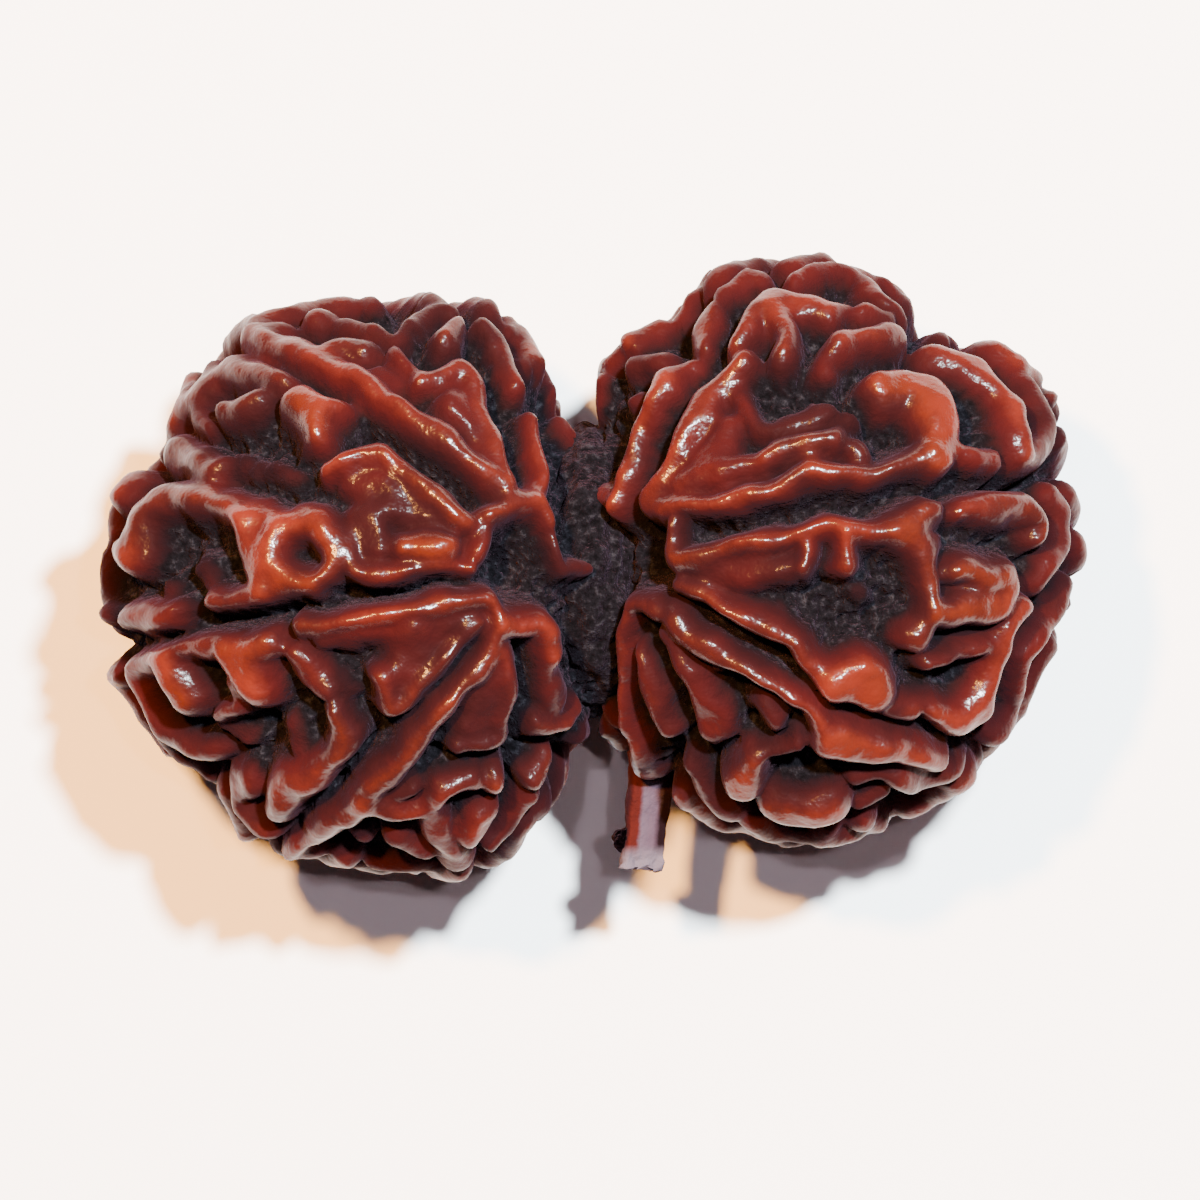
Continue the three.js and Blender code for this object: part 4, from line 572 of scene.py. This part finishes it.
def peg_mesh():
    """Tapering peg with a flat face up and a ragged end, from a cone cut into many rings."""
    start, end = Vector(PEG_START), Vector(PEG_END)
    length = (end - start).length
    along = (end - start).normalized()
    across = along.cross(Vector((0, 0, -1))).normalized()
    up = across.cross(-along).normalized()
    bm = bmesh.new()
    bmesh.ops.create_cone(bm, cap_ends=True, segments=PEG_SIDES, radius1=1, radius2=1, depth=1)
    sides = [e for e in bm.edges if abs(e.verts[0].co.z - e.verts[1].co.z) > 0.5]
    bmesh.ops.subdivide_edges(bm, edges=sides, cuts=PEG_CUTS, use_grid_fill=True)
    bmesh.ops.triangulate(bm, faces=bm.faces[:])
    for v in bm.verts:
        share = v.co.z + 0.5
        at = share * (len(PEG_RADII) - 1)
        low = min(int(at), len(PEG_RADII) - 2)
        radius = PEG_RADII[low] + (PEG_RADII[low + 1] - PEG_RADII[low]) * (at - low)
        side = v.co.x * radius
        high = min(v.co.y * radius, (PEG_FACE_HEIGHT - PEG_FACE_LEAN * side) * radius)
        place = start + along * share * length + across * side + up * high
        end_share = smooth_step(PEG_RAGGED_FROM, 1, share)
        grain_size, grain_depth, grain_at_end = PEG_GRAIN
        grain = noise.noise_vector(place / grain_size) * (grain_depth + grain_at_end * end_share)
        grain += noise.noise_vector(place / PEG_WAVES[0]) * PEG_WAVES[1]
        v.co = (place + grain) * MM
    return marked(mesh_from(bm, "peg"), 0.6, 1.0)


def knob_mesh():
    """Lumpy knob on the side of the peg."""
    bm = bmesh.new()
    bmesh.ops.create_icosphere(bm, subdivisions=PEG_KNOB_SUBDIVISIONS, radius=PEG_KNOB_RADIUS)
    size, depth = PEG_KNOB_CRUMBS
    for v in bm.verts:
        place = Vector(PEG_KNOB) + v.co
        v.co = (place + v.co.normalized() * noise.noise(place / size) * depth) * MM
    return marked(mesh_from(bm, "knob"), 0.1, 1.0)


def joined(meshes, name):
    """One closed mesh from overlapping closed meshes."""
    objects = []
    for mesh in meshes:
        obj = bpy.data.objects.new(mesh.name, mesh)
        bpy.context.scene.collection.objects.link(obj)
        objects.append(obj)
    for tool in objects[1:]:
        union = objects[0].modifiers.new("union", "BOOLEAN")
        union.operation = "UNION"
        union.solver = "MANIFOLD"
        union.object = tool
    bpy.context.view_layer.update()
    evaluated = objects[0].evaluated_get(bpy.context.evaluated_depsgraph_get())
    mesh = bpy.data.meshes.new_from_object(evaluated)
    mesh.name = name
    for obj in objects:
        bpy.data.objects.remove(obj)
    result = bpy.data.objects.new(name, mesh)
    bpy.context.scene.collection.objects.link(result)
    return result


def drop_scraps(bm):
    """Keeps the largest connected body and drops the loose specks left by joining."""
    unseen = set(bm.verts)
    bodies = []
    while unseen:
        front = [unseen.pop()]
        body = list(front)
        while front:
            vert = front.pop()
            for edge in vert.link_edges:
                other = edge.other_vert(vert)
                if other in unseen:
                    unseen.discard(other)
                    front.append(other)
                    body.append(other)
        bodies.append(body)
    bodies.sort(key=len)
    for body in bodies[:-1]:
        bmesh.ops.delete(bm, geom=body, context="VERTS")


noise.seed_set(NOISE_SEED)
stone = joined([stone_mesh(LEFT_STONE, LEFT_RIDGES, "left"),
                stone_mesh(RIGHT_STONE, RIGHT_RIDGES, "right"),
                neck_mesh(), peg_mesh(), knob_mesh()], "twin_stone")
bm = bmesh.new()
bm.from_mesh(stone.data)
bmesh.ops.triangulate(bm, faces=bm.faces[:])
bmesh.ops.dissolve_degenerate(bm, dist=1e-7, edges=bm.edges[:])
drop_scraps(bm)
bm.to_mesh(stone.data)
bm.free()
stone.data.shade_smooth()


def linear(hex_colour):
    """Linear colour from sRGB hex."""
    parts = [int(hex_colour[i:i + 2], 16) / 255 for i in (1, 3, 5)]
    return [p / 12.92 if p <= 0.04045 else ((p + 0.055) / 1.055) ** 2.4 for p in parts] + [1.0]


def add(tree, kind, settings=None, links=None):
    """Adds a node with its settings and input links; a link is (node, output name)."""
    node = tree.nodes.new(kind)
    for name, value in (settings or {}).items():
        if isinstance(name, int) or name in node.inputs:
            node.inputs[name].default_value = value
        else:
            setattr(node, name, value)
    for name, (source, output) in (links or {}).items():
        tree.links.new(source.outputs[output], node.inputs[name])
    return node


def ramp(tree, stops, source):
    """A colour or grey ramp with its stops; the source is (node, output name)."""
    node = add(tree, "ShaderNodeValToRGB", links={"Fac": source})
    elements = node.color_ramp.elements
    while len(elements) < len(stops):
        elements.new(1.0)
    for element, (position, colour) in zip(elements, stops):
        element.position = position
        element.color = linear(colour) if isinstance(colour, str) else [colour] * 3 + [1]
    return node


# Oiled and polished stone: near-black crumbly grooves, wine-red flanks, glossy orange-red crests; this
# darkening from crest down into the grooves is partly the seed's own colour, partly painted shade of the
# recesses and painted light on the tops.
# The peg's colour changes across it, from a red strip to a pale face and a dark edge, and down it.
PEG_LEAN = (PEG_END[0] - PEG_START[0]) / (PEG_END[1] - PEG_START[1])
PEG_HALF = 0.8
PEG_LEFT = (PEG_START[0] - PEG_LEAN * PEG_START[1] - PEG_HALF) * MM
PEG_RIGHT = PEG_LEFT + 2 * PEG_HALF * MM
PALE_FACE = (-7.4 * MM, -8.8 * MM)
PALE_END = (-10.8 * MM, -11.3 * MM)
COAT_MOST = 0.24
COAT_LOW_SHARE = 0.55
COAT_HEIGHTS = (5 * MM, 14 * MM)
GRAIN_DEPTH = 0.3 * MM
DENT_DEPTH = 0.5 * MM
oiled = bpy.data.materials.new("rudraksha stone, dried, oiled and polished")
oiled.use_nodes = True
tree = oiled.node_tree
tree.nodes.clear()
ridge = add(tree, "ShaderNodeAttribute", {"attribute_name": "ridge"})
peg_share = add(tree, "ShaderNodeAttribute", {"attribute_name": "peg"})
place = add(tree, "ShaderNodeTexCoord")
mottle = add(tree, "ShaderNodeTexNoise", {"Scale": 900.0, "Detail": 4.0, "Roughness": 0.65},
             {"Vector": (place, "Object")})
blotch = add(tree, "ShaderNodeTexNoise", {"Scale": 230.0, "Detail": 3.0, "Roughness": 0.55},
             {"Vector": (place, "Object")})
grain = add(tree, "ShaderNodeTexNoise", {"Scale": 3200.0, "Detail": 3.0, "Roughness": 0.65},
            {"Vector": (place, "Object")})
mottle_shift = add(tree, "ShaderNodeMath", {"operation": "MULTIPLY_ADD", 1: 0.24, 2: -0.12},
                   {0: (mottle, "Fac")})
level = add(tree, "ShaderNodeMath", {"operation": "MULTIPLY_ADD", 1: 0.88},
            {0: (ridge, "Fac"), 2: (mottle_shift, "Value")})
# Colour by ridge height, darker down the flanks and near-black on the groove floors: partly the seed's own
# colour, partly painted shade in the grooves and painted light on the highest tops
red = ramp(tree, [(0.32, "#0d0809"), (0.44, "#190a0b"), (0.58, "#240a0b"), (0.76, "#2d0b0a"),
                  (0.86, "#3b110c"), (0.95, "#4d180f")], (level, "Value"))
wine = ramp(tree, [(0.32, "#0b0709"), (0.44, "#12080a"), (0.58, "#180809"), (0.76, "#200a0b"),
                   (0.86, "#2b0d0a"), (0.95, "#3f1409")], (level, "Value"))
patch = ramp(tree, [(0.38, 0.0), (0.62, 1.0)], (blotch, "Fac"))
stone_colour = add(tree, "ShaderNodeMix", {"data_type": "RGBA"},
                   {0: (patch, "Color"), 6: (wine, "Color"), 7: (red, "Color")})
specks = ramp(tree, [(0.36, "#050506"), (0.55, "#0d0c0f"), (0.72, "#201f23")], (grain, "Fac"))
on_ridge = ramp(tree, [(0.23, 0.0), (0.4, 1.0)], (level, "Value"))
whole_colour = add(tree, "ShaderNodeMix", {"data_type": "RGBA"},
                   {0: (on_ridge, "Color"), 6: (specks, "Color"), 7: (stone_colour, 2)})
place_parts = add(tree, "ShaderNodeSeparateXYZ", links={"Vector": (place, "Object")})
towards_end = add(tree, "ShaderNodeMapRange", {"From Min": PALE_END[0], "From Max": PALE_END[1]},
                  {"Value": (place_parts, "Y")})
from_left = add(tree, "ShaderNodeMath", {"operation": "MULTIPLY_ADD", 1: -PEG_LEAN},
                {0: (place_parts, "Y"), 2: (place_parts, "X")})
across_peg = add(tree, "ShaderNodeMapRange", {"From Min": PEG_LEFT, "From Max": PEG_RIGHT},
                 {"Value": (from_left, "Value")})
across_mottled = add(tree, "ShaderNodeMath", {"operation": "ADD"},
                     {0: (across_peg, "Result"), 1: (mottle_shift, "Value")})
peg_face = ramp(tree, [(0.0, "#1c0a0b"), (0.14, "#33110e"), (0.3, "#33110e"), (0.42, "#403640"),
                       (0.72, "#3c303a"), (0.88, "#12090b")], (across_mottled, "Value"))
down_peg = add(tree, "ShaderNodeMapRange", {"From Min": PALE_FACE[0], "From Max": PALE_FACE[1]},
               {"Value": (place_parts, "Y")})
peg_side = add(tree, "ShaderNodeMix", {"data_type": "RGBA", 6: linear("#2a0f0f")},
               {0: (down_peg, "Result"), 7: (peg_face, "Color")})
peg_colour = add(tree, "ShaderNodeMix", {"data_type": "RGBA", 7: linear("#4e464f")},
                 {0: (towards_end, "Result"), 6: (peg_side, 2)})
knob_shade = ramp(tree, [(0.2, "#0d0a0d"), (0.5, "#ffffff")], (ridge, "Fac"))
peg_shaded = add(tree, "ShaderNodeMix", {"data_type": "RGBA", "blend_type": "MULTIPLY", 0: 1.0},
                 {6: (peg_colour, 2), 7: (knob_shade, "Color")})
colour = add(tree, "ShaderNodeMix", {"data_type": "RGBA"},
             {0: (peg_share, "Fac"), 6: (whole_colour, 2), 7: (peg_shaded, 2)})
rough = ramp(tree, [(0.0, 0.85), (0.4, 0.7), (0.66, 0.5), (0.88, 0.42)], (level, "Value"))
coat_on_crest = ramp(tree, [(0.68, 0.0), (0.88, COAT_MOST)], (level, "Value"))
coat_by_height = add(tree, "ShaderNodeMapRange",
                     {"From Min": COAT_HEIGHTS[0], "From Max": COAT_HEIGHTS[1], "To Min": COAT_LOW_SHARE},
                     {"Value": (place_parts, "Z")})
coat = add(tree, "ShaderNodeMath", {"operation": "MULTIPLY"},
           {0: (coat_on_crest, "Color"), 1: (coat_by_height, "Result")})
polish = ramp(tree, [(0.55, 0.0), (0.88, 0.02)], (level, "Value"))
grain_depth = ramp(tree, [(0.26, 1.0), (0.7, 0.03)], (level, "Value"))
bump = add(tree, "ShaderNodeBump", {"Distance": GRAIN_DEPTH},
           {"Height": (grain, "Fac"), "Strength": (grain_depth, "Color")})
dents = add(tree, "ShaderNodeTexNoise", {"Scale": 1000.0, "Detail": 3.0, "Roughness": 0.55},
            {"Vector": (place, "Object")})
dented = add(tree, "ShaderNodeBump", {"Distance": DENT_DEPTH, "Strength": 0.3},
             {"Height": (dents, "Fac"), "Normal": (bump, "Normal")})
surface = add(tree, "ShaderNodeBsdfPrincipled",
              {"Coat Roughness": 0.22, "Coat IOR": 1.7, "IOR": 1.5, "Sheen Weight": 0.03,
               "Sheen Roughness": 0.5, "Sheen Tint": linear("#cc9cb8")},
              {"Base Color": (colour, 2), "Roughness": (rough, "Color"), "Coat Weight": (coat, "Value"),
               "Specular IOR Level": (polish, "Color"), "Normal": (dented, "Normal"),
               "Coat Normal": (dented, "Normal")})
add(tree, "ShaderNodeOutputMaterial", links={"Surface": (surface, "BSDF")})
stone.data.materials.clear()
stone.data.materials.append(oiled)

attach(stone, "root")
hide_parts(NODE)

# Surface below the stones
FLOOR_HALF = 0.6
bm = bmesh.new()
bmesh.ops.create_grid(bm, x_segments=1, y_segments=1, size=FLOOR_HALF)
floor = bpy.data.objects.new("paper", mesh_from(bm, "paper"))
bpy.context.scene.collection.objects.link(floor)
paper = bpy.data.materials.new("white paper, matt")
paper.use_nodes = True
paper.node_tree.nodes["Principled BSDF"].inputs["Base Color"].default_value = linear("#f4f3f3")
paper.node_tree.nodes["Principled BSDF"].inputs["Roughness"].default_value = 0.9
floor.data.materials.append(paper)

# Light: a cool key from the upper right, a warm lamp from the upper left, small lamps beside the
# camera and a dim room
LAMP_AIM = (0, 0, 0.01)
ROOM_STRENGTH = 0.03
world = bpy.data.worlds.new("room")
world.use_nodes = True
world.node_tree.nodes["Background"].inputs["Color"].default_value = linear("#efdde4")
world.node_tree.nodes["Background"].inputs["Strength"].default_value = ROOM_STRENGTH
bpy.context.scene.world = world


def lamp(name, place, size, power, colour):
    """A round lamp aimed at the stones."""
    data = bpy.data.lights.new(name, "AREA")
    data.shape = "DISK"
    data.size = size
    data.energy = power
    data.color = colour
    obj = bpy.data.objects.new(name, data)
    obj.location = place
    obj.rotation_euler = (Vector(LAMP_AIM) - Vector(place)).to_track_quat("-Z", "Y").to_euler()
    bpy.context.scene.collection.objects.link(obj)


lamp("key", (0.07, 0.085, 0.34), 0.024, 8.8, (0.86, 0.955, 1.0))
lamp("warm", (-0.08, 0.085, 0.34), 0.024, 5.8, (1.0, 0.44, 0.11))
lamp("ring lamp left", (-0.03, 0.03, 0.4), 0.008, 0.18, (1.0, 0.8, 0.9))
lamp("ring lamp right", (0.03, 0.01, 0.4), 0.008, 0.18, (1.0, 0.8, 0.9))
